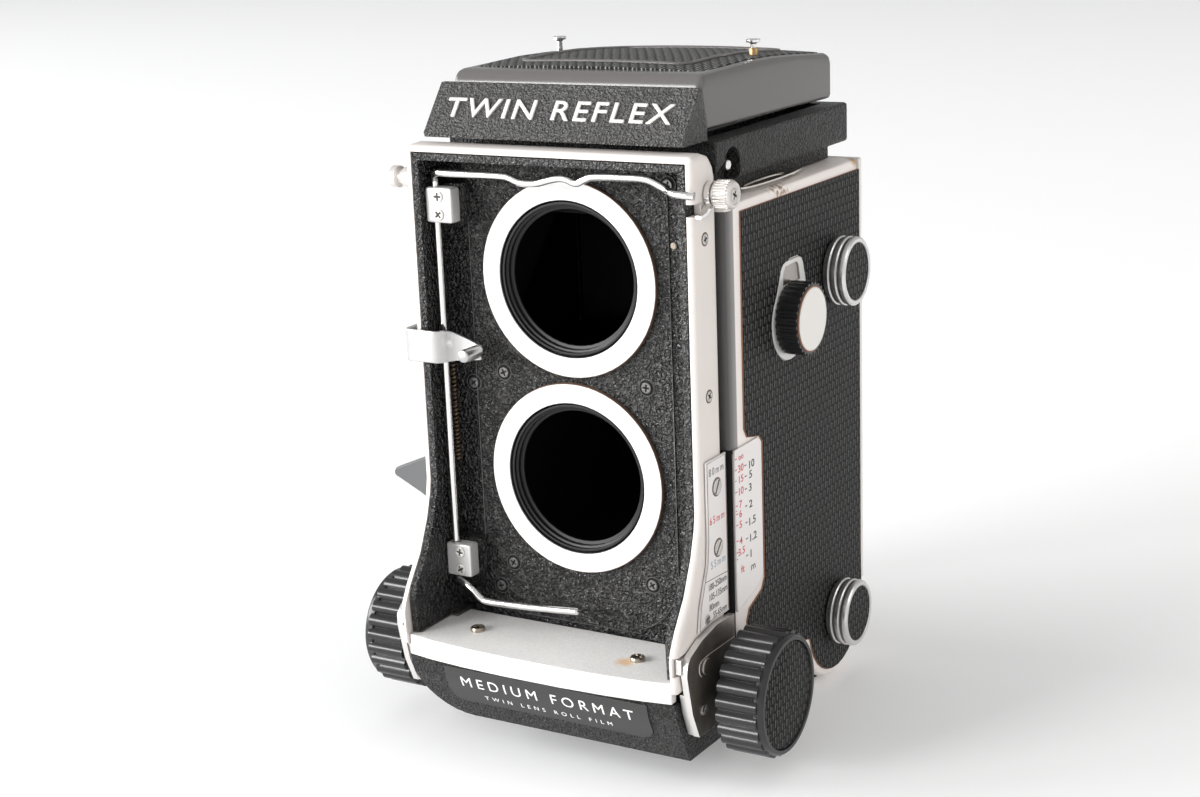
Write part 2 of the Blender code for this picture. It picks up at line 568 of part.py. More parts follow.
# ---------------------------------------------------------------- lens-change knob
change_centre = (CHANGE_Y, CHANGE_Z)
outline = []
for i in range(30):
    for part, reach in ((0.1, 9.1), (0.4, 9.1), (0.6, 8.6), (0.9, 8.6)):
        angle = 2 * math.pi * (i + part) / 30
        outline.append((CHANGE_Y + reach * math.cos(angle), CHANGE_Z + reach * math.sin(angle)))
change = place("lens_change_knob", prism(outline, "X", 42.0, 47.5), "knob_black", (45.0, CHANGE_Y, CHANGE_Z))
join(change, rod(2.2, "X", change_centre, 33.0, 43.0, 16), "shaft")

# ---------------------------------------------------------------- spool knobs on the right
for tag, z in (("top", SPOOL_TOP_Z), ("low", SPOOL_LOW_Z)):
    profile = [
        (0, 29.0), (1.6, 29.0), (2.2, 30.0), (2.2, 41.9), (8.0, 41.9), (8.0, 42.5), (8.8, 42.8), (8.9, 43.6),
        (8.5, 43.9), (8.5, 44.5), (8.9, 44.8), (8.9, 45.6), (8.5, 45.9), (8.5, 46.5), (8.9, 46.8), (8.8, 47.6),
        (8.4, 48.0), (7.5, 48.0), (7.4, 47.7), (0, 47.7),
    ]
    place("spool_knob_" + tag, lathe(profile, "X", (SPOOL_Y, z), 36), "chrome", (45.0, SPOOL_Y, z))

# ---------------------------------------------------------------- winding on the left
wind_centre = (SPOOL_Y, SPOOL_TOP_Z)
wind = place("wind_knob", fluted_knob(wind_centre, 12.4, 0.6, 26, 42.2, 49.4, 0.0, -1), "knob_black",
             (-45.0, SPOOL_Y, SPOOL_TOP_Z))
join(wind, lathe([(0, -29.6), (2.0, -29.6), (2.6, -30.6), (2.6, -43.0), (0, -43.0)], "X", wind_centre, 20), "spindle")
cut(wind, box((-52.0, -47.4), (SPOOL_Y - 14.0, SPOOL_Y + 9.4), (SPOOL_TOP_Z - 2.6, SPOOL_TOP_Z + 2.6)), "crank_seat")
crank = place("wind_crank", box((-48.9, -47.7), (SPOOL_Y - 8.6, SPOOL_Y + 9.0), (SPOOL_TOP_Z - 2.3, SPOOL_TOP_Z + 2.3)),
              "satin_metal", (-48.3, SPOOL_Y - 8.0, SPOOL_TOP_Z))
join(crank, rod(2.1, "X", (SPOOL_Y + 6.4, SPOOL_TOP_Z), -53.4, -48.4, 16), "handle")
spool = place("take_up_spool", rod(3.9, "X", wind_centre, -28.6, 28.2, 20), "deep_black", (0.0, SPOOL_Y, SPOOL_TOP_Z))
for side in (-1, 1):
    low, high = sorted((side * 27.6, side * 28.4))
    join(spool, rod(12.4, "X", wind_centre, low, high, 32), "flange_" + "lr"[side > 0])
counter = place("counter_window", lathe(
    [(0, -41.7), (5.2, -41.7), (5.2, -42.3), (4.6, -42.7), (3.6, -42.7), (3.6, -42.2), (0, -42.2)], "X",
    (38.0, 120.0), 28), "satin_metal")

# ---------------------------------------------------------------- release lever on the left
LEVER_X = -39.4
LEVER_Y = 8.6
lever_outline = [
    *arc(LEVER_X, LEVER_Z, 2.4, -60, 60, 6), (-41.6, 63.0), (-43.0, 65.4), (-44.6, 67.6), (-46.0, 67.6), (-53.6, 64.4),
    (-60.2, 61.6), (-61.0, 60.4), (-60.6, 59.4), (-58.8, 58.6), (-52.6, 55.6), (-46.0, 51.6), (-44.6, 51.8),
    (-43.0, 55.2), (-41.6, 58.2),
]
lever = place("release_lever", prism(lever_outline, "Y", 7.2, 10.0), "satin_metal", (LEVER_X, LEVER_Y, LEVER_Z))
round_edges(lever, 0.4, 1)

# ---------------------------------------------------------------- door
door_pivot = (0.0, HINGE_Y, HINGE_Z)
door = place("back_door", box((-BODY_X, BODY_X), (80.6, 82.6), (21.2, 137.3)), "off_white_metal", door_pivot)
round_edges(door, 0.6, 2)
knuckle = [(82.2, 24.0), *arc(HINGE_Y, HINGE_Z, 1.7, 180, 380, 10), (84.4, 21.0), (82.6, 24.4)]
join(door, prism(knuckle, "X", -26.6, 26.6), "knuckle")
cut(door, rod(1.05, "X", (HINGE_Y, HINGE_Z), -30.0, 30.0, 12), "bore")
place("door_hinge_pin", rod(0.7, "X", (HINGE_Y, HINGE_Z), -32.0, 32.0, 12), "satin_metal")
pressure = place("pressure_plate", box((-30.5, 30.5), (77.4, 78.6), (38.0, 98.0)), "deep_black", door_pivot)
round_edges(pressure, 0.5, 1)
for z in (52.0, 84.0):
    join(pressure, rod(3.0, "Y", (0.0, z), 78.0, 80.3, 12), "spring_%d" % z)

latch = place("door_latch", box((-9.0, 9.0), (78.7, 82.5), (137.9, 139.3)), "satin_metal", (0.0, 80.0, 138.6))
for i in range(2):
    y = 79.5 + 1.4 * i
    cut(latch, box((-6.0, 6.0), (y, y + 0.8), (138.8, 140.0)), "grip_%d" % i)

# ---------------------------------------------------------------- hood
hood = place("hood_base", box((-HOOD_X, HOOD_X), (HOOD_FRONT, HOOD_BACK), (HOOD_LOW, HOOD_TOP)), "crinkle_black")
round_edges(hood, 0.8, 2)
join(hood, box((-34.4, 34.4), (10.0, 75.6), (137.8, 142.4)), "neck")
cut(hood, box((-31.6, 31.6), (11.6, 78.0), (140.4, 153.0)), "well")
cut(hood, box((-30.8, 30.8), (12.0, 72.4), (136.0, 141.0)), "screen_seat")
for side in (-1, 1):
    low, high = sorted((side * 33.2, side * 40.0))
    notch = [(4.0, 134.0), (4.0, 142.6), (12.4, 146.6), *arc(15.6, 145.2, 4.1, 155, 0, 10), (19.7, 143.0), (18.2, 141.0), (18.2, 134.0)]
    cut(hood, prism(notch, "X", low, high), "notch_" + "lr"[side > 0])
    join(hood, rod(1.3, "X", (15.6, 145.0), *sorted((side * 32.8, side * 35.4)), 16), "pin_" + "lr"[side > 0])

plate_profile = [
    (-5.8, 153.0), (3.0, 164.1), (4.6, 164.1), (5.4, 160.0), (6.4, 156.0), (6.6, 151.9), (-5.4, 151.9),
]
nameplate = place("nameplate_block", prism(plate_profile, "X", -35.3, 35.3), "crinkle_black")

leaf = place("hood_leaf", prism(
    [(34.8, 19.0), (36.8, 19.0), (38.6, 28.0), (39.5, 38.0), (39.2, 46.0), (37.6, 52.0), (36.2, 54.0), (34.8, 53.0)],
    "Z", 138.6, 139.1), "chrome")
join(leaf, rod(1.8, "Z", (36.6, 40.0), 137.8, 138.9, 16), "post")

lid_pivot = (0.0, LID_AXIS_Y, LID_AXIS_Z)
lid_side = [
    *arc(LID_AXIS_Y, LID_AXIS_Z, 3.6, 180, 95, 5), *LID_CROWN, (LID_BACK - 0.8, 163.6),
    (LID_BACK, 162.0), (LID_BACK, LID_LOW_BACK), (LID_AXIS_Y, LID_LOW), (7.6, 155.4),
]
lid = place("hood_lid", prism(lid_side, "X", -LID_X, LID_X), "gloss_black", lid_pivot)
round_edges(lid, 1.3, 2, 60)
cut(lid, prism([(11.4, 140.0), (11.4, 165.0), (34.0, 165.6), (60.0, 164.4), (78.2, 162.7), (78.2, 140.0)], "X", -32.7, 32.7), "inside")
cut(lid, prism([(2.0, 156.0), (LID_AXIS_Y - 3.2, 161.0), (14.0, 160.7), (14.0, 150.0), (2.0, 150.0)],
               "X", -32.7, 32.7), "front_open")
for side, tag in ((1, "right"), (-1, "left")):
    post = [(0, 167.1), (1.6, 167.1), (1.6, 167.7), (0.9, 167.9), (0.9, 170.3), (1.8, 170.5), (1.8, 171.1), (0, 171.1)]
    place("lid_post_" + tag, lathe(post, "Z", (side * 27.8, 46.5), 16), "chrome", lid_pivot)

FLAP_X = 31.0
for side, tag in ((1, "right"), (-1, "left")):
    flap_plan = [
        (side * FLAP_X, 13.2), (side * FLAP_X, 76.4), (side * (FLAP_X - 29.6), 46.8), (side * (FLAP_X - 29.6), 42.8),
    ]
    flap = place("hood_flap_" + tag, prism(flap_plan, "Z", 152.6, 153.2), "gloss_black", (side * FLAP_X, 44.8, 152.9))
back_plan = [(-30.0, 77.2), (30.0, 77.2), (27.0, 70.0), (22.0, 45.6), (-22.0, 45.6), (-27.0, 70.0)]
place("hood_flap_back", prism(back_plan, "Z", 154.4, 155.0), "gloss_black", (0.0, 77.2, 154.7))

MAG_Y = LID_AXIS_Y + 36.0
magnifier = place("magnifier_frame", box((-15.0, 15.0), (MAG_Y - 1.0, 76.0), (159.4, 160.8)), "gloss_black",
                  (0.0, MAG_Y, 160.1))
cut(magnifier, rod(11.6, "Z", (0.0, 62.0), 158.0, 166.0, 36), "hole")
lens_profile = [(0, 159.0), (6.0, 159.2), (11.2, 159.8), (11.2, 160.4), (6.0, 161.0), (0, 161.2)]
place("magnifier_lens", lathe(lens_profile, "Z", (0.0, 62.0), 32), "glass", (0.0, MAG_Y, 160.1))
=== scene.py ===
"""Looks of the twin lens reflex camera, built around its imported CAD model.

Lengths in the tables and calls below are millimetres in the build frame: X to the right when looking at the
lens side, Y back from the front plane of the lens mounts, Z up. BASE puts them in the frame's metres.
"""

import math

import bmesh
import bpy
from mathutils import Matrix, Vector
from mathutils.geometry import tessellate_polygon


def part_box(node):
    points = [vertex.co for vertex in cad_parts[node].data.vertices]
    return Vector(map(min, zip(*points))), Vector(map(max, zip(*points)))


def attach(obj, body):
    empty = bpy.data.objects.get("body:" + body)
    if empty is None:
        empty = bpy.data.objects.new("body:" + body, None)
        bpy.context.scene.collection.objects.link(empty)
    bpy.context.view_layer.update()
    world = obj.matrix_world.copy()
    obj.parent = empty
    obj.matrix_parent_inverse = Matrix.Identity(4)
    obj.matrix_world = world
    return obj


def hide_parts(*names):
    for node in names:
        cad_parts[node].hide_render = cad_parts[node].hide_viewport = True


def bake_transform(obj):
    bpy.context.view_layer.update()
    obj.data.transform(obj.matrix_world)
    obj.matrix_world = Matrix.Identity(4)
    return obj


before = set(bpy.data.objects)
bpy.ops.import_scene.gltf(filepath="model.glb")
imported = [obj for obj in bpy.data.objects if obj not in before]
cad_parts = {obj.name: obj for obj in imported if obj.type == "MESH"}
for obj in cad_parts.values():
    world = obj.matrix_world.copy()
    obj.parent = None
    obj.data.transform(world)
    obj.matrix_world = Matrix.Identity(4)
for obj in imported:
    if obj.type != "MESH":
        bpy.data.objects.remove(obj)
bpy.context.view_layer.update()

MM = 0.001
VIEW_Z = 118.0
TAKE_Z = 68.0
ring_low, ring_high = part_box("mount_ring_view")
BASE = Vector((
    (ring_low.x + ring_high.x) / 2,
    ring_low.y,
    (ring_low.z + ring_high.z) / 2 - VIEW_Z * MM,
))


STANDARD = "front_standard"
BODY = "camera_body"
LOBE = (63.0, 19.4)
TOP_SPOOL = (63.0, 111.2)
CHANGE = (36.0, 104.6)
LID_POST = (27.8, 46.5)
CASTING_SCREWS = ((-3.6, 131.0), (-3.4, 94.0))
INK_DEPTH = 0.04


def spot(node, side=0):
    """A corner of a CAD node's box in build millimetres: 0 the lowest, 1 the highest."""
    return (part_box(node)[side] - BASE) / MM


# -- shapes, in build millimetres
def turn(point, axis):
    """A point (u, v, w) of a profile with w along the axis, as (x, y, z)."""
    u, v, w = point
    return {"X": (w, u, v), "Y": (u, w, v), "Z": (u, v, w)}[axis]


def slab(loops, axis, low, high, bm=None):
    """Closed outlines (the first outside, the others holes) pushed along an axis."""
    bm = bm or bmesh.new()
    flat = [[Vector((u, v, 0.0)) for u, v in loop] for loop in loops]
    points = [p for loop in flat for p in loop]
    ends = []
    for level in (low, high):
        ends.append([bm.verts.new(turn((p.x, p.y, level), axis)) for p in points])
    for tri in tessellate_polygon(flat):
        bm.faces.new([ends[0][i] for i in tri])
        bm.faces.new([ends[1][i] for i in reversed(tri)])
    start = 0
    for loop in flat:
        count = len(loop)
        for i in range(count):
            a, b = start + i, start + (i + 1) % count
            bm.faces.new((ends[0][a], ends[0][b], ends[1][b], ends[1][a]))
        start += count
    return bm


def box(x, y, z, bm=None):
    return slab([[(x[0], y[0]), (x[1], y[0]), (x[1], y[1]), (x[0], y[1])]], "Z", z[0], z[1], bm)


def lathe(profile, axis, centre, steps=64, bm=None, closed=True):
    """Turn a profile of (radius, along) points about an axis through the centre (the two other axes)."""
    bm = bm or bmesh.new()
    rings = []
    for radius, along in profile:
        count = 1 if radius < 1e-6 else steps
        ring = []
        for i in range(count):
            angle = 2 * math.pi * i / steps
            u = centre[0] + radius * math.cos(angle)
            v = centre[1] + radius * math.sin(angle)
            ring.append(bm.verts.new(turn((u, v, along), axis)))
        rings.append(ring)
    pairs = list(zip(rings, rings[1:]))
    if closed:
        pairs.append((rings[-1], rings[0]))
    for a, b in pairs:
        if len(a) == 1 and len(b) == 1:
            continue
        for i in range(steps):
            j = (i + 1) % steps
            if len(a) == 1:
                bm.faces.new((a[0], b[i], b[j]))
            elif len(b) == 1:
                bm.faces.new((a[i], b[0], a[j]))
            else:
                bm.faces.new((a[i], b[i], b[j], a[j]))
    return bm


def circle(radius, centre=(0.0, 0.0), steps=48, start=0.0, end=360.0):
    full = abs(end - start) >= 360.0
    count = steps if full else steps + 1
    points = []
    for i in range(count):
        angle = math.radians(start + (end - start) * i / steps)
        points.append((centre[0] + radius * math.cos(angle), centre[1] + radius * math.sin(angle)))
    return points


def tube(bm, rings, closed=False):
    """Faces from ring to ring, round to the first ring when closed and capped at both ends when not."""
    pairs = list(zip(rings, rings[1:]))
    if closed:
        pairs.append((rings[-1], rings[0]))
    for a, b in pairs:
        for k in range(len(a)):
            j = (k + 1) % len(a)
            bm.faces.new((a[k], a[j], b[j], b[k]))
    if not closed:
        bm.faces.new(list(reversed(rings[0])))
        bm.faces.new(rings[-1])
    return bm


def covering(grid, drop):
    """A grid of points as one skin, with a wall from its border along the drop."""
    bm = bmesh.new()
    rows = [[bm.verts.new(point) for point in line] for line in grid]
    for a, b in zip(rows, rows[1:]):
        for k in range(len(a) - 1):
            bm.faces.new((a[k], a[k + 1], b[k + 1], b[k]))
    border = [*rows[0], *[row[-1] for row in rows[1:]], *reversed(rows[-1][:-1])]
    border += [row[0] for row in reversed(rows[1:-1])]
    lower = [bm.verts.new(vert.co + Vector(drop)) for vert in border]
    for i in range(len(border)):
        j = (i + 1) % len(border)
        bm.faces.new((border[i], border[j], lower[j], lower[i]))
    return bm


def smooth_path(points, per=6):
    """A Catmull-Rom line through the points."""
    points = [Vector(p) for p in points]
    padded = [points[0] * 2 - points[1], *points, points[-1] * 2 - points[-2]]
    line = []
    for a, b, c, d in zip(padded, padded[1:], padded[2:], padded[3:]):
        for k in range(per):
            t = k / per
            line.append(0.5 * (2 * b + (c - a) * t + (2 * a - 5 * b + 4 * c - d) * t * t
                               + (3 * b - a - 3 * c + d) * t * t * t))
    line.append(points[-1])
    return line


def sweep(path, radius, sides=12, flat=1.0, closed=False, bm=None, up=None):
    """A wire along a path of (x, y, z) points. flat scales its thickness along the starting up side."""
    bm = bm or bmesh.new()
    points = [Vector(p) for p in path]
    count = len(points)
    rings = []
    side = Vector(up) if up else None
    for i, point in enumerate(points):
        if closed:
            along = points[(i + 1) % count] - points[i - 1]
        else:
            along = points[min(i + 1, count - 1)] - points[max(i - 1, 0)]
        along.normalize()
        if side is None:
            side = along.orthogonal()
        base = Vector(up) if up else side
        side = (base - along * base.dot(along)).normalized()
        other = along.cross(side)
        ring = []
        for k in range(sides):
            angle = 2 * math.pi * k / sides
            offset = side * math.cos(angle) * flat + other * math.sin(angle)
            ring.append(bm.verts.new(point + offset * radius))
        rings.append(ring)
    return tube(bm, rings, closed)


def merge(target, source, matrix=None):
    """Add a copy of one mesh to another, moved by a matrix."""
    made = {}
    for vert in source.verts:
        made[vert] = target.verts.new(matrix @ vert.co if matrix else vert.co)
    for face in source.faces:
        target.faces.new([made[v] for v in face.verts])
    source.free()
    return target


def oriented(out, up=(0, 0, 1)):
    """A turn that puts a flat mesh (x across, y up, z out) square to a given outward direction."""
    out = Vector(out).normalized()
    up = Vector(up)
    up = (up - out * up.dot(out)).normalized()
    return Matrix((up.cross(out), up, out)).transposed().to_4x4()


def facing(axis, side=1):
    """The same turn for a face whose outward side is +axis or -axis."""
    return oriented([side if name == axis else 0 for name in "XYZ"], (0, 1, 0) if axis == "Z" else (0, 0, 1))


def linked(name, data):
    """A new object in the scene."""
    obj = bpy.data.objects.new(name, data)
    bpy.context.scene.collection.objects.link(obj)
    return obj


def words(string, height, depth, bold=0.0, stretch=1.0, spacing=1.0):
    """Flat letters (x across, y up, z out) whose capitals have this height, centred on the origin."""
    curve = bpy.data.curves.new("words", "FONT")
    curve.body = string
    curve.align_x = "CENTER"
    curve.size = 1.0
    curve.offset = bold
    curve.space_character = spacing
    curve.resolution_u = 4
    obj = linked("words", curve)
    mesh = bpy.data.meshes.new_from_object(obj.evaluated_get(bpy.context.evaluated_depsgraph_get()))
    bpy.data.objects.remove(obj)
    bm = bmesh.new()
    bm.from_mesh(mesh)
    bpy.data.meshes.remove(mesh)
    scale = height / CAP_HEIGHT
    for vert in bm.verts:
        vert.co = Vector((vert.co.x * scale * stretch, (vert.co.y - CAP_HEIGHT / 2) * scale, 0.0))
    made = bmesh.ops.extrude_face_region(bm, geom=bm.faces[:])
    for item in made["geom"]:
        if isinstance(item, bmesh.types.BMVert):
            item.co.z = depth
    return bm


def cap_height():
    """How tall a capital of size 1 is."""
    curve = bpy.data.curves.new("measure", "FONT")
    curve.body = "H"
    obj = linked("measure", curve)
    bpy.context.view_layer.update()
    tall = max(corner[1] for corner in obj.bound_box)
    bpy.data.objects.remove(obj)
    return tall


CAP_HEIGHT = cap_height()


def write(bm, string, height, place, turned, depth=0.06, **style):
    return merge(bm, words(string, height, depth, **style), Matrix.Translation(Vector(place)) @ turned)


def screw(radius, height, drive="cross", angle=0.0):
    """A screw head seen from outside (z out, base at z 0) with its recess, and the floor of that recess, dark as
    painted shade.
    """
    head, well = bmesh.new(), bmesh.new()
    reach, half = radius * 0.68, radius * 0.17
    if drive == "cross":
        quarter = [(reach, half), (half, half), (half, reach)]
        recess = [(u * a - v * b, u * b + v * a) for a, b in ((1, 0), (0, 1), (-1, 0), (0, -1)) for u, v in quarter]
    else:
        reach, half = radius * 0.94, radius * 0.15
        recess = [(reach, half), (-reach, half), (-reach, -half), (reach, -half)]
    c, s = math.cos(angle), math.sin(angle)
    recess = [(u * c - v * s, u * s + v * c) for u, v in recess]
    if drive == "cross":
        slab([circle(radius * 0.9, steps=32), recess], "Z", height * 0.3, height, head)
        side = [(radius * 0.9, height), (radius, height * 0.7), (radius, 0.0), (radius * 0.9, 0.0)]
        lathe(side, "Z", (0, 0), 32, head)
    else:
        slab([circle(radius * 0.98, steps=32), recess], "Z", 0.0, height, head)
    # The recess floor, coloured dark as painted shade.
    slab([[(u * 1.02, v * 1.02) for u, v in recess]], "Z", height * 0.1, height * 0.35, well)
    return head, well


def screws(name, rows, body, material, height, drive="cross", well=None):
    """Screws of (place, outward axis and side, radius, angle): their heads in one piece, their wells in another, dark
    as painted shade in the recesses.
    """
    heads, wells = bmesh.new(), bmesh.new()
    for place, (axis, side), radius, angle in rows:
        head, recess = screw(radius, height, drive, angle)
        placed = Matrix.Translation(place) @ facing(axis, side)
        merge(heads, head, placed)
        merge(wells, recess, placed)
    piece(name, heads, body, material)
    piece(name + "_wells", wells, body, well or M_BLACK)


# -- pieces
def piece(name, bm, body, material, angle=35.0, replaced=()):
    """A mesh in build millimetres, as an object that rides on a body of the frame."""
    bmesh.ops.remove_doubles(bm, verts=bm.verts[:], dist=1e-5)
    bmesh.ops.recalc_face_normals(bm, faces=bm.faces[:])
    for vert in bm.verts:
        vert.co = vert.co * MM + BASE
    mesh = bpy.data.meshes.new(name)
    bm.to_mesh(mesh)
    bm.free()
    mesh.shade_smooth()
    mesh.set_sharp_from_angle(angle=math.radians(angle))
    mesh.materials.append(material)
    obj = linked(name, mesh)
    if body:
        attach(obj, body)
    if replaced:
        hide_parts(*replaced)
    return obj


def dress(node, material, angle=35.0):
    """Give a CAD node its material and smooth shading, with its shape as it is."""
    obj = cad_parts[node]
    mesh = obj.data
    if "custom_normal" in mesh.attributes:
        mesh.attributes.remove(mesh.attributes["custom_normal"])
    mesh.materials.clear()
    mesh.materials.append(material)
    mesh.shade_smooth()
    weld = obj.modifiers.new("weld", "WELD")
    weld.merge_threshold = 1e-6
    split = obj.modifiers.new("sharp", "EDGE_SPLIT")
    split.split_angle = math.radians(angle)
    weighted = obj.modifiers.new("even", "WEIGHTED_NORMAL")
    weighted.keep_sharp = True


# -- materials
class Look:
    """A procedural material, with short calls for the nodes that the looks share."""

    def __init__(self, name, colour, roughness, metallic=0.0, **sockets):
        self.material = bpy.data.materials.new(name)
        self.material.use_nodes = True
        self.tree = self.material.node_tree
        self.shader = self.tree.nodes["Principled BSDF"]
        self.shader.inputs["Base Color"].default_value = (*colour, 1.0)
        self.shader.inputs["Roughness"].default_value = roughness
        self.shader.inputs["Metallic"].default_value = metallic
        for key, value in sockets.items():
            self.shader.inputs[key.replace("_", " ")].default_value = value
        self.where = self.add("TexCoord", out="Object")
        self.edge_normal = None

    def add(self, kind, inputs=None, out=0, **settings):
        made = self.tree.nodes.new("ShaderNode" + kind)
        for key, value in settings.items():
            setattr(made, key, value)
        for key, value in (inputs or {}).items():
            if isinstance(value, bpy.types.NodeSocket):
                self.tree.links.new(value, made.inputs[key])
            else:
                made.inputs[key].default_value = value
        return made.outputs[out]

    def math(self, operation, a, b=0.0, clamp=False):
        return self.add("Math", {0: a, 1: b}, operation=operation, use_clamp=clamp)

    def times(self, a, b, clamp=False):
        return self.math("MULTIPLY", a, b, clamp)

    def gap(self, a, b):
        return self.math("ABSOLUTE", self.math("SUBTRACT", a, b))

    def mix(self, amount, a, b):
        a = (*a, 1.0) if isinstance(a, tuple) and len(a) == 3 else a
        b = (*b, 1.0) if isinstance(b, tuple) and len(b) == 3 else b
        return self.add("Mix", {0: amount, 6: a, 7: b}, out=2, data_type="RGBA")

    def span(self, value, low, high, to_low=0.0, to_high=1.0):
        return self.add("MapRange", {0: value, 1: low, 2: high, 3: to_low, 4: to_high}, clamp=True)

    def noise(self, scale, detail=2.0, rough=0.5):
        sockets = {"Vector": self.where, "Scale": scale, "Detail": detail, "Roughness": rough}
        return self.add("TexNoise", sockets)

    def axes(self):
        parts = self.tree.nodes.new("ShaderNodeSeparateXYZ")
        self.tree.links.new(self.where, parts.inputs[0])
        return parts.outputs[0], parts.outputs[1], parts.outputs[2]

    def soften(self, radius=0.4):
        """Round every edge in the shading, and keep that normal for edge wear."""
        self.edge_normal = self.add("Bevel", {"Radius": radius * MM}, samples=6)
        return self.edge_normal

    def edges(self, low=0.02, high=0.25):
        """1 at the edges, 0 on the flats."""
        true = self.add("NewGeometry", out="True Normal")
        same = self.add("VectorMath", {0: self.edge_normal, 1: true}, out="Value", operation="DOT_PRODUCT")
        return self.span(self.math("SUBTRACT", 1.0, same), low, high)

    def bump(self, height, distance, strength=1.0):
        sockets = {"Height": height, "Distance": distance * MM, "Strength": strength}
        if self.edge_normal:
            sockets["Normal"] = self.edge_normal
        return self.add("Bump", sockets)

    def set(self, socket, value):
        self.tree.links.new(value, self.shader.inputs[socket])

    def done(self, normal=None):
        if normal or self.edge_normal:
            self.set("Normal", normal or self.edge_normal)
        return self.material


def plain(name, colour, roughness, metallic=0.0, soft=0.0, **sockets):
    look = Look(name, colour, roughness, metallic, **sockets)
    if soft:
        look.soften(soft)
    return look.done()


def crinkle(name, base=0.012, light=0.075, rough=0.27, grain=720.0, depth=0.85, shine=0.75, painted_shade=None):
    """Wrinkle-finish black paint: fine worm-like ridges, lighter on their tops as painted highlight and darker in the
    creases as painted shade, rubbed a little at the edges.

    The last argument is the pair of x between which the paint goes from its darkest to its own tone: a painted shadow
    of the left lip.
    """
    look = Look(name, (base, base, base), rough, Specular_IOR_Level=shine)
    look.soften(0.5)
    first = look.noise(grain, 1.5, 0.45)
    second = look.noise(grain * 2.1, 1.0, 0.4)
    fold = look.gap(first, 0.5)
    ridge = look.span(fold, 0.15, 0.0)
    fine = look.span(second, 0.3, 0.7)
    height = look.math("ADD", look.times(ridge, 0.8), look.times(fine, 0.45))
    # Painted highlight and shade: the colour follows the ridge height, light on the tops and dark in the creases.
    tone = look.span(height, 0.35, 1.05)
    worn = look.times(look.edges(0.04, 0.3), look.span(look.noise(420.0, 3.0), 0.5, 0.68))
    colour = look.mix(tone, (base * 1.5,) * 3, (light * 0.84, light * 0.82, light * 0.80))
    colour = look.mix(look.times(worn, 0.5), colour, (0.15, 0.14, 0.13))
    # Painted shadow: the paint darkens towards the left lip between the given x.
    if painted_shade:
        far, near = painted_shade
        colour = look.mix(look.span(look.axes()[0], far * MM, near * MM, 0.8, 0.0), colour, (0.0015,) * 3)
    look.set("Base Color", colour)
    return look.done(look.bump(height, depth, 1.0))


def painted_white(name, colour=(0.80, 0.775, 0.745), rough=0.36, metallic=0.0, wear=0.5, grain=0.02,
                  dark=None, stain=None):
    """Pale warm metal finish with a fine grain and brown rubbing along its edges."""
    look = Look(name, colour, rough, metallic)
    look.soften(0.45)
    speck = look.span(look.noise(900.0, 4.0, 0.65), 0.62, 0.74)
    edge = look.edges(0.03, 0.35)
    patch = look.span(look.noise(190.0, 4.0, 0.6), 0.52, 0.66)
    rub = look.times(edge, patch)
    spots = look.times(look.span(look.noise(330.0, 2.0), 0.66, 0.72), 0.5)
    amount = look.times(look.math("MAXIMUM", rub, look.times(spots, speck)), wear, True)
    low, high = tuple(c * 0.965 for c in colour), tuple(min(1.0, c * 1.03) for c in colour)
    tint = look.mix(look.noise(60.0, 3.0), low, high)
    tint = look.mix(amount, tint, (0.16, 0.095, 0.05))
    if stain:
        tint = stain(look, tint)
    if dark:
        # dark gives back the colour and a mask of the black chambers and of the painted shadow in the front gap, and
        # both are made rough.
        tint, chamber_and_gap_shade = dark(look, tint)
        look.set("Roughness", look.span(chamber_and_gap_shade, 0.0, 1.0, rough, 1.0))
    look.set("Base Color", tint)
    return look.done(look.bump(look.noise(5200.0, 2.0), grain, 0.6))


def leatherette(name, across, along, row=2.14, pitch=2.46, base=0.003, light=0.112, soft=0.25):
    """Pressed covering: rows of raised hooks, each a tall and a short stroke under a bar, set off from row to row, the
    raised strokes lighter than the ground as painted highlight.

    across and along are axis numbers.
    """
    look = Look(name, (base, base, base), 0.5, Specular_IOR_Level=0.12)
    look.soften(soft)
    parts = look.axes()
    wobble = look.times(look.math("SUBTRACT", look.noise(500.0, 1.0), 0.5), 0.16)
    u = look.math("ADD", look.times(parts[across], 1 / (pitch * MM)), wobble)
    v = look.math("ADD", look.times(parts[along], 1 / (row * MM)), look.times(wobble, 0.5))
    line = look.math("FLOOR", v)
    v = look.math("SUBTRACT", v, line)
    u = look.math("FRACT", look.math("ADD", u, look.times(line, 0.5)))

    def stroke(centre, half, low, high, value):
        side = look.gap(u, centre)
        level = look.gap(v, (low + high) / 2)
        inside = look.span(side, half + 0.05, half - 0.04)
        reach = (high - low) / 2
        inside = look.times(inside, look.span(level, reach + 0.05, reach - 0.04))
        return look.times(inside, value)

    height = look.math("MAXIMUM", stroke(0.20, 0.095, 0.05, 0.92, 1.0), stroke(0.66, 0.075, 0.05, 0.62, 0.6))
    height = look.math("MAXIMUM", height, stroke(0.42, 0.28, 0.62, 0.72, 0.75))
    grit = look.times(look.noise(2400.0, 2.0), 0.3)
    # Painted highlight: the raised strokes take the lighter colour, and the ground between them takes the dark one.
    tone = look.span(look.math("ADD", height, grit), 0.12, 1.1)
    look.set("Base Color", look.mix(tone, (base,) * 3, (light, light, light * 0.98)))
    return look.done(look.bump(height, 0.5, 1.0))


def brushed(name, colour, rough, depth=0.012):
    look = Look(name, colour, rough, 1.0)
    look.soften(0.3)
    grain = look.noise(2600.0, 3.0, 0.6)
    look.set("Roughness", look.span(grain, 0.25, 0.75, rough * 0.8, rough * 1.3))
    return look.done(look.bump(grain, depth, 0.5))


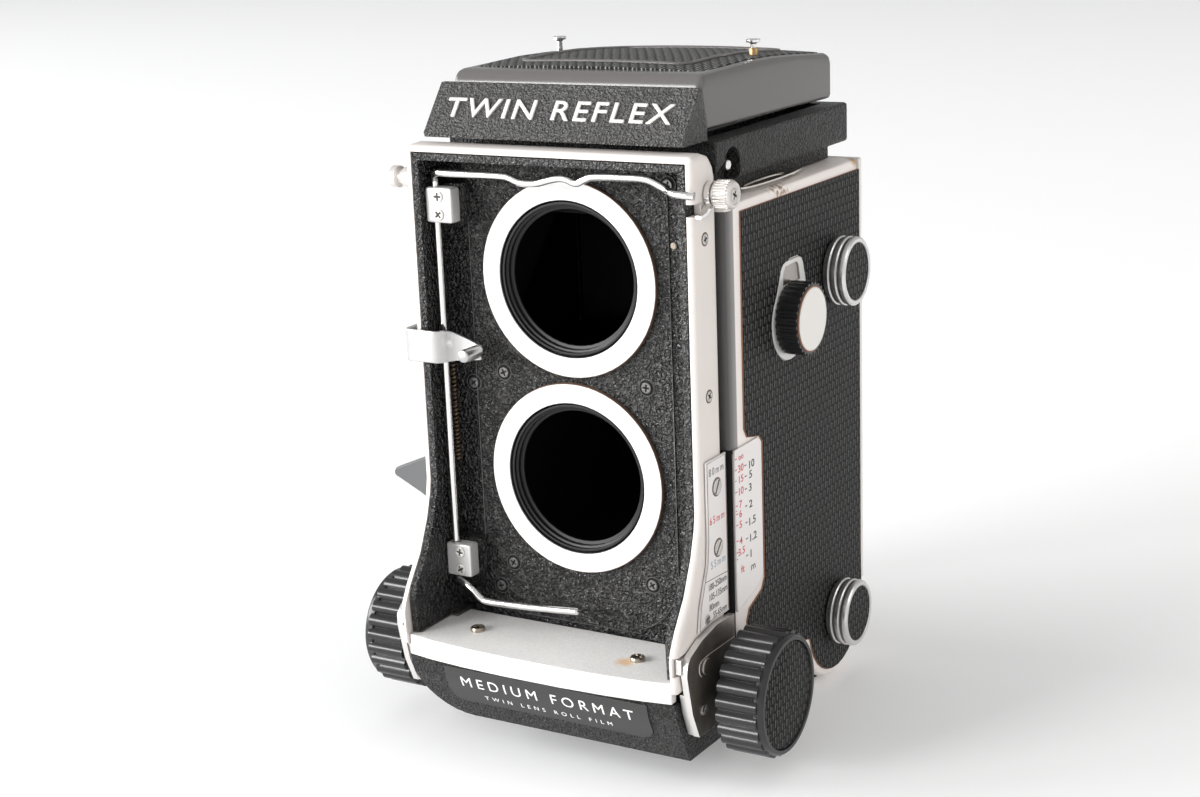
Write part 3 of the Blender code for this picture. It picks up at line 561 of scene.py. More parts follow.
def stained(look, colour, place, reach, tint, threshold):
    """Blotches of another colour around a place, thinning out to its reach."""
    away = look.add("VectorMath", {0: look.where, 1: BASE + Vector(place) * MM}, out="Value", operation="DISTANCE")
    near = look.span(away, reach * MM, reach * MM * 0.3)
    blotch = look.times(near, look.span(look.noise(700.0, 4.0, 0.6), threshold, threshold + 0.12))
    return look.mix(blotch, colour, tint)


def shelf_stain(look, colour):
    """Sandy grain, and a rusty run beside the right screw of the shelf."""
    grit = look.times(look.span(look.noise(1800.0, 3.0, 0.7), 0.42, 0.62), 0.5)
    colour = look.mix(grit, colour, (0.70, 0.685, 0.665))
    return stained(look, colour, (21.0, -14.8, 29.0), 3.4, (0.80, 0.56, 0.34), 0.34)


def body_inside(look, colour):
    """Black chambers, a grey band of painted shade and a black painted shadow in the gap at the front edge beside the
    casting, and two worn spots on the pale outside.
    """
    x, y, z = look.axes()
    lobe_y, lobe_z = BASE.y + LOBE[0] * MM, BASE.z + LOBE[1] * MM
    inner = look.math("LESS_THAN", look.math("ABSOLUTE", x), 36.9 * MM)
    under_top = look.math("LESS_THAN", z, BASE.z + 137.3 * MM)
    dy = look.math("SUBTRACT", y, lobe_y)
    dz = look.math("SUBTRACT", z, lobe_z)
    reach = look.math("SQRT", look.math("ADD", look.times(dy, dy), look.times(dz, dz)))
    in_lobe = look.math("LESS_THAN", reach, 18.6 * MM)
    above = look.math("GREATER_THAN", z, BASE.z + 24.0 * MM)
    room = look.math("MAXIMUM", in_lobe, above)
    amount = look.times(look.times(inner, under_top), room)
    colour = stained(look, colour, (40.6, 78.6, 137.4), 3.0, (0.45, 0.27, 0.10), 0.25)
    colour = stained(look, colour, (40.2, 33.0, 137.4), 7.0, (0.32, 0.19, 0.10), 0.50)
    # Painted shade on the body's front edge beside the casting: grey, darker towards the front.
    deep = look.span(y, BASE.y + 3.2 * MM, BASE.y + 7.2 * MM)
    grey = look.mix(deep, (0.02, 0.019, 0.019), (0.30, 0.285, 0.28))
    lip = look.math("LESS_THAN", y, BASE.y + 7.3 * MM)
    painted_shade = look.times(lip, look.math("LESS_THAN", z, BASE.z + 136.0 * MM))
    painted_shade = look.times(painted_shade, look.math("GREATER_THAN", z, BASE.z + 78.0 * MM))
    colour = look.mix(painted_shade, colour, grey)
    # Painted shadow: black in the gap between the body's front edge and the casting, below z 79.
    front = look.math("LESS_THAN", y, BASE.y + 4.7 * MM)
    beside = look.times(front, look.math("LESS_THAN", z, BASE.z + 79.0 * MM))
    # The mask holds the black chambers and the painted shadow in that gap.
    amount = look.math("MAXIMUM", amount, beside)
    return look.mix(amount, colour, (0.0012,) * 3), amount


def two_faced(name, dark, pale):
    """Side plates: dark bronze on the wide faces, bright on the thin edges."""
    look = Look(name, pale, 0.34, 0.85)
    look.soften(0.15)
    normal = look.add("NewGeometry", out="True Normal")
    parts = look.tree.nodes.new("ShaderNodeSeparateXYZ")
    look.tree.links.new(normal, parts.inputs[0])
    face = look.span(look.math("ABSOLUTE", parts.outputs[0]), 0.6, 0.8)
    cloud = look.span(look.noise(150.0, 4.0, 0.6), 0.35, 0.7)
    tone = look.mix(cloud, tuple(c * 0.75 for c in dark), tuple(c * 1.35 for c in dark))
    rub = look.times(look.edges(0.02, 0.2), look.span(look.noise(500.0, 3.0), 0.42, 0.6))
    tone = look.mix(look.times(rub, 0.8), tone, (0.50, 0.47, 0.43))
    look.set("Base Color", look.mix(face, (*pale, 1.0), tone))
    return look.done(look.bump(look.noise(3000.0, 2.0), 0.015, 0.5))


# The front panel's paint is darkened next to the left lip as painted shadow of that lip.
M_PANEL = crinkle("panel_crinkle", light=0.085, painted_shade=(-37.5, -22.0))
# The hood's sides and its front nameplate block wear one crinkle paint: the sides get a darker copy as painted shade,
# and the front gets a lighter copy as painted light.
M_HOOD_PAINTED_SHADE = crinkle("hood_crinkle_painted_shade", 0.014, 0.050, 0.32, 850.0, 0.50, shine=0.22)
M_NAME_PAINTED_LIGHT = crinkle("name_crinkle_painted_light", 0.045, 0.115, 0.30, 850.0, 0.60, shine=0.35)
M_BED = crinkle("bed_crinkle", 0.010, 0.045, 0.30, 900.0, 0.50, shine=0.24)
M_BODY = painted_white("body_white", (0.86, 0.80, 0.765), wear=0.9, dark=body_inside)
M_CASTING = painted_white("casting_white", (0.75, 0.70, 0.665), 0.36, wear=0.9)
M_SHELF = painted_white("shelf_silver", (0.90, 0.885, 0.865), 0.42, 0.0, wear=0.2, grain=0.09, stain=shelf_stain)
M_RING = painted_white("ring_white", (0.90, 0.895, 0.885), 0.42, wear=0.22, grain=0.012)
M_DOOR = painted_white("door_white")
M_STUD = painted_white("stud_white", (0.66, 0.63, 0.60), 0.30, 0.35, wear=0.5)
M_SCALE = painted_white("scale_silver", (0.82, 0.79, 0.775), 0.34, 0.12, wear=0.7, grain=0.01)
M_FOCAL = painted_white("focal_silver", (0.80, 0.77, 0.755), 0.36, 0.15, wear=0.8, grain=0.01)
M_CHANGE_PLATE = painted_white("change_plate_silver", (0.74, 0.73, 0.71), 0.3, 0.3, wear=0.3, grain=0.01)
M_SIDE_SKIN = leatherette("side_leatherette", 1, 2)
M_DOOR_SKIN = leatherette("door_leatherette", 0, 2)
M_LID_SKIN = leatherette("lid_leatherette", 0, 1, light=0.30)
M_LID = plain("lid_paint", (0.122, 0.115, 0.112), 0.25, soft=0.6)
M_FLAP = plain("flap_paint", (0.022,) * 3, 0.36, soft=0.3)
M_KNOB = plain("knob_black", (0.019, 0.019, 0.020), 0.25, soft=0.2, Specular_IOR_Level=0.45)
M_BLACK = plain("deep_black", (0.003,) * 3, 0.55, soft=0.3, Specular_IOR_Level=0.25)
M_THROAT = plain("throat_black", (0.010,) * 3, 0.42, soft=0.3, Specular_IOR_Level=0.35)
M_LABEL = plain("label_black", (0.035, 0.034, 0.034), 0.34, soft=0.15)
M_CHROME = plain("chrome", (0.84, 0.83, 0.82), 0.13, 1.0, soft=0.2)
M_SATIN = brushed("satin_metal", (0.74, 0.73, 0.72), 0.30)
M_RAIL = two_faced("rail_bronze", (0.27, 0.24, 0.21), (0.80, 0.78, 0.76))
M_BRASS = brushed("brass", (0.40, 0.27, 0.13), 0.4)
M_DOT = plain("dot_tan", (0.36, 0.30, 0.24), 0.5)
M_SPRING = plain("spring_wire", (0.20, 0.13, 0.085), 0.38, 0.9)
M_RUBBER = plain("rubber", (0.02,) * 3, 0.75, soft=0.3)
M_BELLOWS = plain("bellows_cloth", (0.003,) * 3, 0.9, Specular_IOR_Level=0.1)
M_CHAMBER = plain("chamber_black", (0.0008,) * 3, 1.0, Specular_IOR_Level=0.02)
# The mirror is darkened to near black: painted shade of the camera's dark inside.
M_MIRROR = plain("mirror", (0.10, 0.102, 0.105), 0.04, 1.0)
M_GLASS = plain("glass", (0.92, 0.94, 0.95), 0.03, Transmission_Weight=0.92, IOR=1.5)
M_SCREEN = plain("focusing_glass", (0.42, 0.43, 0.41), 0.5, Transmission_Weight=0.5, IOR=1.45)
M_RED = plain("red_ink", (0.62, 0.05, 0.07), 0.5)
M_INK = plain("black_ink", (0.03, 0.025, 0.025), 0.5)
M_BLUE = plain("pale_blue_ink", (0.30, 0.36, 0.42), 0.5)
M_GREY = plain("grey_ink", (0.16, 0.155, 0.15), 0.5)
M_WHITE_INK = plain("white_ink", (0.86, 0.86, 0.85), 0.45)
M_PRIMER = plain("primer_line", (0.24, 0.115, 0.065), 0.6)
M_BROWN = plain("brown_line", (0.13, 0.075, 0.05), 0.5)
M_LEAF = plain("leaf_steel", (0.60, 0.56, 0.51), 0.22, 1.0, soft=0.1)
M_DISC = painted_white("disc_white", (0.80, 0.78, 0.75), 0.3, wear=0.25, grain=0.008)
M_SCREW = brushed("screw_steel", (0.62, 0.60, 0.57), 0.28)
M_OLD_SCREW = brushed("old_screw", (0.42, 0.37, 0.30), 0.32)
M_DARK_SCREW = plain("dark_screw", (0.20, 0.195, 0.19), 0.32, 0.8, soft=0.1)
# Grey for lines of painted highlight along edges.
M_EDGE_HIGHLIGHT = plain("painted_edge_highlight", (0.09,) * 3, 0.4)
M_LETTER = painted_white("letter_silver", (0.82, 0.80, 0.77), 0.3, 0.3, wear=0.12, grain=0.01)
M_TAB = brushed("tab_satin", (0.56, 0.555, 0.55), 0.33, depth=0.006)
M_LEVER = plain("lever_grey", (0.115, 0.117, 0.12), 0.5, 0.2, soft=0.15)
M_WINDOW = brushed("window_metal", (0.46, 0.43, 0.40), 0.30)
M_BRACKET = painted_white("bracket_silver", (0.70, 0.695, 0.685), 0.32, 0.35, wear=0.2)
M_HEAD = painted_white("head_silver", (0.80, 0.78, 0.75), 0.28, 0.35, wear=0.15, grain=0.01)
M_RECESS_SHADE = plain("screw_recess_painted_shade", (0.045, 0.042, 0.04), 0.6)

CAD_LOOKS = (
    (M_BODY, "body_casting"),
    (M_CASTING, "front_casting"),
    (M_PANEL, "front_panel"),
    (M_HOOD_PAINTED_SHADE, "hood_base"),
    (M_BED, "focusing_bed"),
    (M_NAME_PAINTED_LIGHT, "nameplate_block"),
    (M_SHELF, "front_shelf"),
    (M_SIDE_SKIN, "side_leatherette_left side_leatherette_right"),
    (M_CHANGE_PLATE, "lens_change_plate"),
    (M_SCALE, "distance_scale_plate"),
    (M_FOCAL, "focal_length_plate"),
    (M_RAIL, "rail_plate_left rail_plate_right"),
    (M_SATIN, "tripod_plate counter_window door_hinge_pin rack_left rack_right focusing_shaft "
              "spool_knob_top spool_knob_low wind_crank door_latch"),
    (M_RUBBER, "foot_left foot_right"),
    (M_MIRROR, "reflex_mirror"),
    (M_SCREEN, "focusing_screen"),
    (M_CHROME, "hood_leaf bail_catch release_coupling lid_post_left lid_post_right"),
    (M_RING, "mount_ring_view mount_ring_take"),
    (M_THROAT, "throat_view throat_take"),
    (M_BRACKET, "bail_bracket_top bail_bracket_low"),
    (M_STUD, "stud_left stud_right"),
    (M_KNOB, "focusing_knob_left focusing_knob_right lens_change_knob wind_knob"),
    (M_LEVER, "release_lever"),
    (M_CHAMBER, "light_baffle"),
    (M_BLACK, "take_up_spool pressure_plate"),
    (M_DOOR, "back_door"),
    (M_LID, "hood_lid"),
    (M_FLAP, "hood_flap_right hood_flap_left hood_flap_back magnifier_frame"),
    (M_GLASS, "magnifier_lens"),
)
for node_look, node_names in CAD_LOOKS:
    for node_name in node_names.split():
        dress(node_name, node_look)

# -- bellows, spring and bail
PLEATS = 5
pleat_y = (spot("bellows").y, spot("bellows", 1).y)
outline = []
for i in range(PLEATS * 2 + 1):
    outline.append((pleat_y[0] + (pleat_y[1] - pleat_y[0]) * i / (PLEATS * 2), 1.8 if i % 2 else 0.0))
bm = bmesh.new()
loops = []
for skin, points in ((0.0, outline), (0.35, list(reversed(outline)))):
    for y, inset in points:
        x = 35.4 - inset - skin
        z0, z1 = 31.6 + inset + skin, 135.6 - inset - skin
        ring = []
        for cx, cz, turned in ((x, z0, 270), (x, z1, 0), (-x, z1, 90), (-x, z0, 180)):
            sx, sz = (1 if cx > 0 else -1), (1 if cz > 80 else -1)
            for u, v in circle(2.0, (cx - 2.0 * sx, cz - 2.0 * sz), 3, turned, turned + 90):
                ring.append(bm.verts.new((u, y, v)))
        loops.append(ring)
tube(bm, loops, closed=True)
bellows = piece("bellows_folds", bm, None, M_BELLOWS, 20.0, ("bellows",))
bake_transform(bellows)

spring_low, spring_high = spot("return_spring").z, spot("return_spring", 1).z
SPRING_TURNS = 26
coil = []
for i in range(SPRING_TURNS * 14 + 1):
    angle = 2 * math.pi * i / 14
    rise = spring_low + 0.2 + (spring_high - spring_low - 0.4) * i / (SPRING_TURNS * 14)
    coil.append((-33.6 + 0.68 * math.cos(angle), -1.6 + 0.68 * math.sin(angle), rise))
piece("return_spring_coil", sweep(coil, 0.21, 6), STANDARD, M_SPRING, 60, ("return_spring",))

BAIL_X, BAIL_Y = -33.3, -5.0
bail_path = [
    (3.1, -7.6, 36.5), (-10.3, -7.6, 35.5), (-22.3, -7.6, 35.0), (-25.0, -7.6, 35.6), (-27.0, -7.5, 37.1),
    (-29.4, -7.2, 38.4), (-31.4, -6.5, 38.9), (-32.9, -5.5, 39.2), (BAIL_X, BAIL_Y, 40.4), (BAIL_X, BAIL_Y, 60.0),
    (BAIL_X, BAIL_Y, 100.0), (BAIL_X, BAIL_Y, 139.8), (-33.2, -5.1, 141.4), (-32.7, -5.8, 142.7),
    (-31.2, -6.9, 143.5), (-29.0, -7.5, 143.7), (-25.0, -7.6, 143.7), (-12.7, -7.6, 143.7),
    (-10.0, -7.6, 143.3), (-7.2, -7.6, 142.4), (-3.0, -7.6, 142.4), (0.6, -7.6, 143.3),
    (3.6, -7.6, 143.9), (5.8, -7.6, 143.7), (7.4, -7.6, 143.1), (8.8, -7.6, 143.1),
    (10.4, -7.6, 143.9), (13.0, -7.6, 144.7), (20.0, -7.6, 144.9), (26.5, -7.6, 144.8), (30.0, -7.6, 143.6),
    (32.4, -8.2, 142.6), (34.8, -9.8, 142.2), (38.0, -10.1, 142.0), (40.2, -9.8, 141.9),
]
bm = sweep(smooth_path(bail_path, 5), 0.93, 16)
lathe([(0, 4.0), (0.45, 3.9), (0.78, 3.62), (0.93, 3.1), (0, 3.1)], "X", (-7.6, 36.5), 16, bm)
piece("bail_wire", bm, "bail", M_CHROME, 60, ("lens_bail",))

# -- release coupling and studs
def strip(rows, half, bm=None):
    """A bent strip of metal: rows of (x, y, low z, high z) along its middle, and half its thickness."""
    bm = bm or bmesh.new()
    points = [Vector((x, y, 0.0)) for x, y, low, high in rows]
    rings = []
    for i, (x, y, low, high) in enumerate(rows):
        along = (points[min(i + 1, len(rows) - 1)] - points[max(i - 1, 0)]).normalized()
        side = Vector((along.y, -along.x, 0.0)) * half
        rings.append([bm.verts.new((x + k * side.x, y + k * side.y, z)) for k, z in
                      ((-1, low), (1, low), (1, high), (-1, high))])
    return tube(bm, rings)


TAB_LOW, TAB_HIGH = spot("release_coupling").z, spot("release_coupling", 1).z
bend = [(-41.4, 0.7), (-41.4, -3.0), (-41.4, -8.6), (-41.1, -9.5), (-40.3, -10.0), (-39.0, -10.05), (-34.0, -10.05),
        (-32.5, -10.0), (-31.4, -9.3), (-30.7, -8.1), (-30.0, -7.1), (-28.9, -6.5), (-26.0, -6.1), (-21.8, -5.95)]
rows = []
for x, y in bend:
    drop = max(0.0, (x + 31.0) / 9.2)
    rows.append((x, y, TAB_LOW + 0.9 * drop, TAB_HIGH - 3.6 * drop))
bm = strip(rows, 0.4)
box((-41.8, -39.6), (-3.4, 0.4), (TAB_LOW + 1.4, TAB_HIGH - 1.6), bm)
lathe([(0, -12.6), (1.0, -12.6), (1.5, -12.3), (1.7, -11.7), (1.7, -6.0), (0, -6.0)], "Y", (-23.0, 99.8), 36, bm)
piece("release_tab_strip", bm, "release_tab", M_TAB, 32.0, ("release_coupling",))

STUD = (-1.4, 141.1)
bm = lathe([(0, 39.5), (2.0, 39.5), (2.0, 41.3), (2.9, 41.3), (3.1, 41.6), (3.1, 42.0), (0, 42.0)], "X", STUD, 40)
grip = []
for i in range(26):
    for share, reach in ((0.0, 3.42), (0.45, 3.42), (0.6, 3.0), (0.85, 3.0)):
        angle = 2 * math.pi * (i + share) / 26
        grip.append((STUD[0] + reach * math.cos(angle), STUD[1] + reach * math.sin(angle)))
slab([grip], "X", 41.9, 45.3, bm)
lathe([(0, 45.2), (3.15, 45.2), (3.2, 45.6), (2.9, 46.05), (2.2, 46.1), (2.1, 45.9), (0, 45.9)], "X", STUD, 40, bm)
piece("stud_grip", bm, STANDARD, M_STUD, 30.0, ("stud_right",))
screws("stud_screw", [((45.8, *STUD), ("X", 1), 1.6, 1.1)], STANDARD, M_SCREW, 0.3)

# -- primer line round the right covering
SKIN_LINE = [
    (10.6, 135.0), (10.6, 82.6), (12.0, 80.4), (18.6, 79.0), (20.3, 77.0), (20.3, 42.0), (18.6, 39.2),
    (11.6, 36.6), (10.2, 34.0), (10.2, 16.8), (44.2, 16.8),
    *circle(16.9, LOBE, 14, 192, 352), (79.3, 30.0), (79.3, 134.6),
]
line = [(41.06, y, z) for y, z in SKIN_LINE]
piece("skin_line_right", sweep(line, 0.29, 6, closed=True), BODY, M_PRIMER, 60)

# -- front panel: raised plate, screws, dot, and grey lines of painted highlight along the plate's edge and round the screw holes
plate = [
    (-28.5, 146.4), (27.3, 146.4), (27.3, 47.0), *circle(16.0, (11.4, 46.0), 12, 0, -72), (16.4, 29.6),
    (-17.6, 29.6), (-17.6, 33.4), (-21.3, 35.3), (-24.8, 37.2), (-26.8, 39.6), (-28.5, 43.0),
]
holes = [circle(19.1, (0.0, z), 72) for z in (VIEW_Z, TAKE_Z)]
piece("panel_plate", slab([plate, *holes], "Y", 1.2, 1.5), STANDARD, M_PANEL)
# A grey line along the plate's edge: painted highlight.
edge = [(x, 1.2, z) for x, z in plate]
piece("panel_plate_edge_highlight", sweep(edge, 0.12, 6, closed=True), STANDARD, M_EDGE_HIGHLIGHT, 60)

PANEL_SCREWS = [
    (-20.2, 93.0), (20.2, 93.0), (-20.2, 43.0), (20.2, 43.0), (27.2, 36.0), (27.5, 142.1), (-29.4, 89.5), (-24.3, 36.2),
]
wells, rim_highlights, rows = bmesh.new(), bmesh.new(), []
face = 1.18
for number, (x, z) in enumerate(PANEL_SCREWS):
    # A black disc behind each screw: painted shade in its countersunk hole.
    lathe([(0, face), (2.0, face), (2.0, 1.5), (0, 1.5)], "Y", (x, z), 32, wells)
    # A grey ring round each screw hole: painted highlight.
    lathe([(1.92, face + 0.1), (2.0, face - 0.1), (2.12, face - 0.1), (2.2, face + 0.1)], "Y", (x, z), 40, rim_highlights)
    rows.append(((x, face, z), ("Y", -1), 1.35, 0.4 + 1.1 * number))
piece("panel_screw_wells", wells, STANDARD, M_BLACK)
piece("panel_screw_rim_highlights", rim_highlights, STANDARD, M_EDGE_HIGHLIGHT)
screws("panel_screws", rows, STANDARD, M_DARK_SCREW, 0.4)
piece("panel_dot", lathe([(0, 1.0), (0.6, 1.0), (0.8, 1.15), (0.8, 1.5), (0, 1.5)], "Y", (28.6, 127.9), 20),
      STANDARD, M_DOT)

for tag, z in (("view", VIEW_Z), ("take", TAKE_Z)):
    line = lathe([(24.02, 0.9), (24.02, 0.02), (24.2, 0.12), (24.34, 0.9)], "Y", (0.0, z), 96)
    piece("ring_line_" + tag, line, STANDARD, M_BROWN)
    threads = []
    for k in range(2):
        threads += [(19.28, 0.25 + 0.44 * k), (19.12, 0.47 + 0.44 * k)]
    threads += [(19.28, 1.15), (19.33, 1.15), (19.33, 0.25)]
    piece("ring_step_" + tag, lathe(threads, "Y", (0.0, z), 96), STANDARD, M_THROAT)

# -- screws of the brackets, shelf and casting
BRACKET_SCREWS = ((-31.4, 137.7), (-31.4, 133.3), (-31.0, 46.8), (-31.0, 42.2))
rows = [((x, -7.0, z), ("Y", -1), 1.45, 0.7 * number) for number, (x, z) in enumerate(BRACKET_SCREWS)]
screws("bracket_screws", rows, STANDARD, M_HEAD, 0.4, well=M_RECESS_SHADE)
rows = [((-23.0, -12.6, 29.0), ("Z", 1), 1.85, 0.5), ((23.0, -12.6, 29.0), ("Z", 1), 1.85, 1.2)]
screws("shelf_screws", rows, STANDARD, M_OLD_SCREW, 1.0)
rows = [((39.3, *centre), ("X", 1), 1.3, turned) for centre, turned in zip(CASTING_SCREWS, (0.3, 0.9))]
screws("casting_screws", rows, STANDARD, M_SCREW, 0.22)
bm = bmesh.new()
for centre in CASTING_SCREWS:
    lathe([(1.3, 39.2), (1.3, 39.36), (1.62, 39.36), (1.66, 39.2)], "X", centre, 32, bm)
piece("casting_screw_seats", bm, STANDARD, M_BROWN)

# -- nameplate and nose lettering
out = Vector((0.0, -11.1, 8.8)).normalized()
name_up = Vector((0.0, 8.8, 11.1)).normalized()
middle = (0.0, -1.4, 158.55)
bm = bmesh.new()
write(bm, "TWIN REFLEX", 5.1, middle, oriented(out, name_up), 0.50, bold=0.008, stretch=1.18, spacing=1.16)
piece("nameplate_letters", bm, BODY, M_LETTER)

NOSE = [(-21.55, 23.5), (-21.0, 21.0), (-20.42, 18.6), (-19.9, 17.3), (-14.9, 6.6)]


def on_nose(distance):
    """(y, z) and outward direction at a distance down the nose from its top edge."""
    for (y0, z0), (y1, z1) in zip(NOSE, NOSE[1:]):
        length = math.hypot(y1 - y0, z1 - z0)
        if distance <= length or (y1, z1) == NOSE[-1]:
            share = distance / length
            normal = Vector((0.0, z1 - z0, -(y1 - y0))) / length
            return Vector((0.0, y0 + (y1 - y0) * share, z0 + (z1 - z0) * share)), normal
        distance -= length
    return None


def wrap_nose(bm, x, distance):
    """Lay flat letters on the nose: x across, y up, z out."""
    for k in range(-8, 9):
        plane = (0.0, 0.25 * k, 0.0)
        bmesh.ops.bisect_plane(bm, geom=bm.verts[:] + bm.edges[:] + bm.faces[:], plane_co=plane, plane_no=(0, 1, 0))
    for vert in bm.verts:
        point, normal = on_nose(distance - vert.co.y)
        vert.co = point + Vector((x + vert.co.x, 0.0, 0.0)) + normal * vert.co.z
    return bm


LABEL_ROWS = 16
top, low, left, right, corner = 1.6, 12.6, -28.0, 30.0, 3.5
grid = []
for i in range(LABEL_ROWS + 1):
    distance = top + (low - top) * i / LABEL_ROWS
    cut = max(0.0, distance - (low - corner))
    inset = corner - math.sqrt(max(0.0, corner * corner - cut * cut))
    point, normal = on_nose(distance)
    width = right - left - 2 * inset
    grid.append([point + Vector((left + inset + width * share, 0, 0)) + normal * 0.16
                 for share in (0.0, 0.25, 0.5, 0.75, 1.0)])
piece("nose_label", covering(grid, (0, 0.3, 0.1)), BODY, M_LABEL, 30.0)
bm = wrap_nose(words("MEDIUM FORMAT", 3.0, 0.05, stretch=1.04, spacing=1.48), 1.0, 5.6)
merge(bm, wrap_nose(words("TWIN LENS ROLL FILM", 1.25, 0.05, stretch=1.1, spacing=1.9), 0.5, 10.2))
for vert in bm.verts:
    vert.co += Vector((0, -0.16, 0.05))
piece("nose_letters", bm, BODY, M_WHITE_INK)

# -- distance scale
SCALE_X = 41.5
side_up = facing("X")
reds = [("30", 7.7, 73.8), ("15", 7.6, 71.1), ("10", 7.5, 68.1), ("7", 7.2, 64.9), ("6", 7.1, 62.5), ("5", 7.1, 59.8),
        ("4", 7.1, 55.7), ("3.5", 7.3, 53.0), ("ft", 7.7, 48.3)]
blacks = [("10", 13.0, 73.3), ("5", 12.6, 70.8), ("3", 12.3, 67.6), ("2", 12.4, 63.4), ("1.5", 12.9, 59.0),
          ("1.2", 13.2, 54.8), ("1", 12.0, 50.8), ("m", 13.1, 47.3)]
red, black = bmesh.new(), bmesh.new()
for string, y, z in reds:
    write(red, string, 1.75, (SCALE_X, y, z), side_up, INK_DEPTH, bold=0.006, stretch=1.2)
for string, y, z in blacks:
    bold = 0.0 if string == "m" else 0.01
    write(black, string, 1.85, (SCALE_X, y + 0.3, z), side_up, INK_DEPTH, bold=bold, stretch=1.3)
eight = [(SCALE_X + 0.02, 7.9 + 1.1 * math.sin(a), 76.4 + 0.45 * math.sin(2 * a))
         for a in (2 * math.pi * k / 32 for k in range(32))]
sweep(eight, 0.09, 6, closed=True, bm=red)
TICKS = (
    (red, 4.75, 5.7, 0.12, (76.6, 73.9, 68.4, 64.9, 62.9, 60.1, 56.1, 53.2)),
    (black, 4.75, 5.3, 0.09, (71.2, 63.7, 51.5)),
    (black, 9.7, 10.7, 0.13, (73.7, 71.0, 67.8, 63.5, 59.3, 55.2, 50.9)),
)
for ink, start, end, half, heights in TICKS:
    for z in heights:
        box((SCALE_X - 0.1, SCALE_X + INK_DEPTH), (start, end), (z - half, z + half), ink)
piece("scale_feet", red, BODY, M_RED)
piece("scale_metres", black, BODY, M_INK)

# -- focal length plate
FOCAL_X = 39.95
inks = {"grey": bmesh.new(), "red": bmesh.new(), "blue": bmesh.new(), "dark": bmesh.new()}
for ink, string, size, y, z in (
    ("grey", "80mm", 1.8, -2.0, 76.0), ("red", "65mm", 1.8, -2.1, 64.1), ("blue", "55mm", 1.8, -2.1, 53.2),
    ("dark", "180-250mm", 1.6, -2.7, 48.1), ("dark", "105-135mm", 1.6, -2.5, 45.5),
    ("dark", "80mm", 1.6, -4.6, 43.0), ("dark", "55-65mm", 1.5, -1.7, 40.7),
):
    stretch, spacing = (0.9, 1.45) if size > 1.7 else (0.86, 0.98)
    write(inks[ink], string, size, (FOCAL_X, y, z), side_up, INK_DEPTH, stretch=stretch, spacing=spacing)
for ink, look in (("grey", M_GREY), ("red", M_RED), ("blue", M_BLUE), ("dark", M_INK)):
    piece("focal_" + ink, inks[ink], STANDARD, look)
FOCAL_RIM = [
    (-6.6, 78.5), (2.7, 78.5), (2.7, 39.6), (-6.0, 39.7), (-12.2, 38.8), (-11.2, 44.5), (-7.3, 53.9), (-6.6, 60.0),
]
bm = sweep([(FOCAL_X, y, z) for y, z in FOCAL_RIM], 0.10, 6, closed=True)
sweep([(FOCAL_X, -8.6, 50.0), (FOCAL_X, 2.7, 49.2)], 0.09, 6, bm=bm)
piece("focal_outline", bm, STANDARD, M_BROWN)
FOCAL_SCREWS = ((-1.9, 71.7, 2.0, 1.0), (-1.8, 56.6, 2.0, 0.8), (-8.4, 40.7, 1.2, 0.3))
rows = [((FOCAL_X - 0.1, y, z), ("X", 1), radius, turned) for y, z, radius, turned in FOCAL_SCREWS]
screws("focal_screws", rows, STANDARD, M_SCREW, 0.35, "slot")
bm = bmesh.new()
back, raised = FOCAL_X - 0.1, FOCAL_X + 0.04
for y, z, radius, _ in FOCAL_SCREWS[:2]:
    lathe([(radius, back), (radius, raised), (radius + 0.3, raised), (radius + 0.34, back)], "X", (y, z), 40, bm)
piece("focal_screw_seats", bm, STANDARD, M_BROWN)

# -- rail plates
for side, tag in ((1, "right"), (-1, "left")):
    bm = bmesh.new()
    lathe([(0, side * 41.2), (2.0, side * 41.2), (2.0, side * 41.5), (1.8, side * 41.65), (0, side * 41.65)],
          "X", (-11.9, 30.4), 32, bm)
    rise = [(-14.4, 28.7), (-15.3, 29.6), (-15.6, 31.0), (-15.2, 32.0), (-14.2, 32.5), (-10.3, 32.8), (2.8, 32.5)]
    sweep([(side * 41.3, y, z) for y, z in rise], 0.16, 8, bm=bm)
    piece("rail_boss_" + tag, bm, BODY, M_RAIL)
    rows = [((side * 41.3, -13.9, 20.1), ("X", side), 1.35, 0.9)]
    screws("rail_screw_" + tag, rows, BODY, M_SCREW, 0.3, "slot")

# -- hood leaf and pins
leaf = [(36.9 + 2.3 * math.sin(a) * (1.0 if math.sin(a) > 0 else 0.85), 36.8 - 17.0 * math.cos(a))
        for a in (2 * math.pi * k / 48 for k in range(48))]
gap = [(36.9 + 1.35 * math.sin(a), 32.6 - 11.0 * math.cos(a)) for a in (2 * math.pi * k / 40 for k in range(40))]
bm = slab([leaf, gap], "Z", 138.55, 139.0)
lathe([(0, 138.0), (1.3, 138.0), (1.3, 138.7), (0, 138.7)], "Z", (36.7, 47.5), 24, bm)
piece("hood_leaf_ring", bm, BODY, M_LEAF, replaced=("hood_leaf",))
bm = bmesh.new()
for side in (-1, 1):
    lathe([(0, side * 35.2), (1.25, side * 35.2), (1.25, side * 35.9), (1.0, side * 36.15), (0, side * 36.15)],
          "X", (15.6, 145.0), 24, bm)
piece("hood_pins", bm, BODY, M_CHROME)

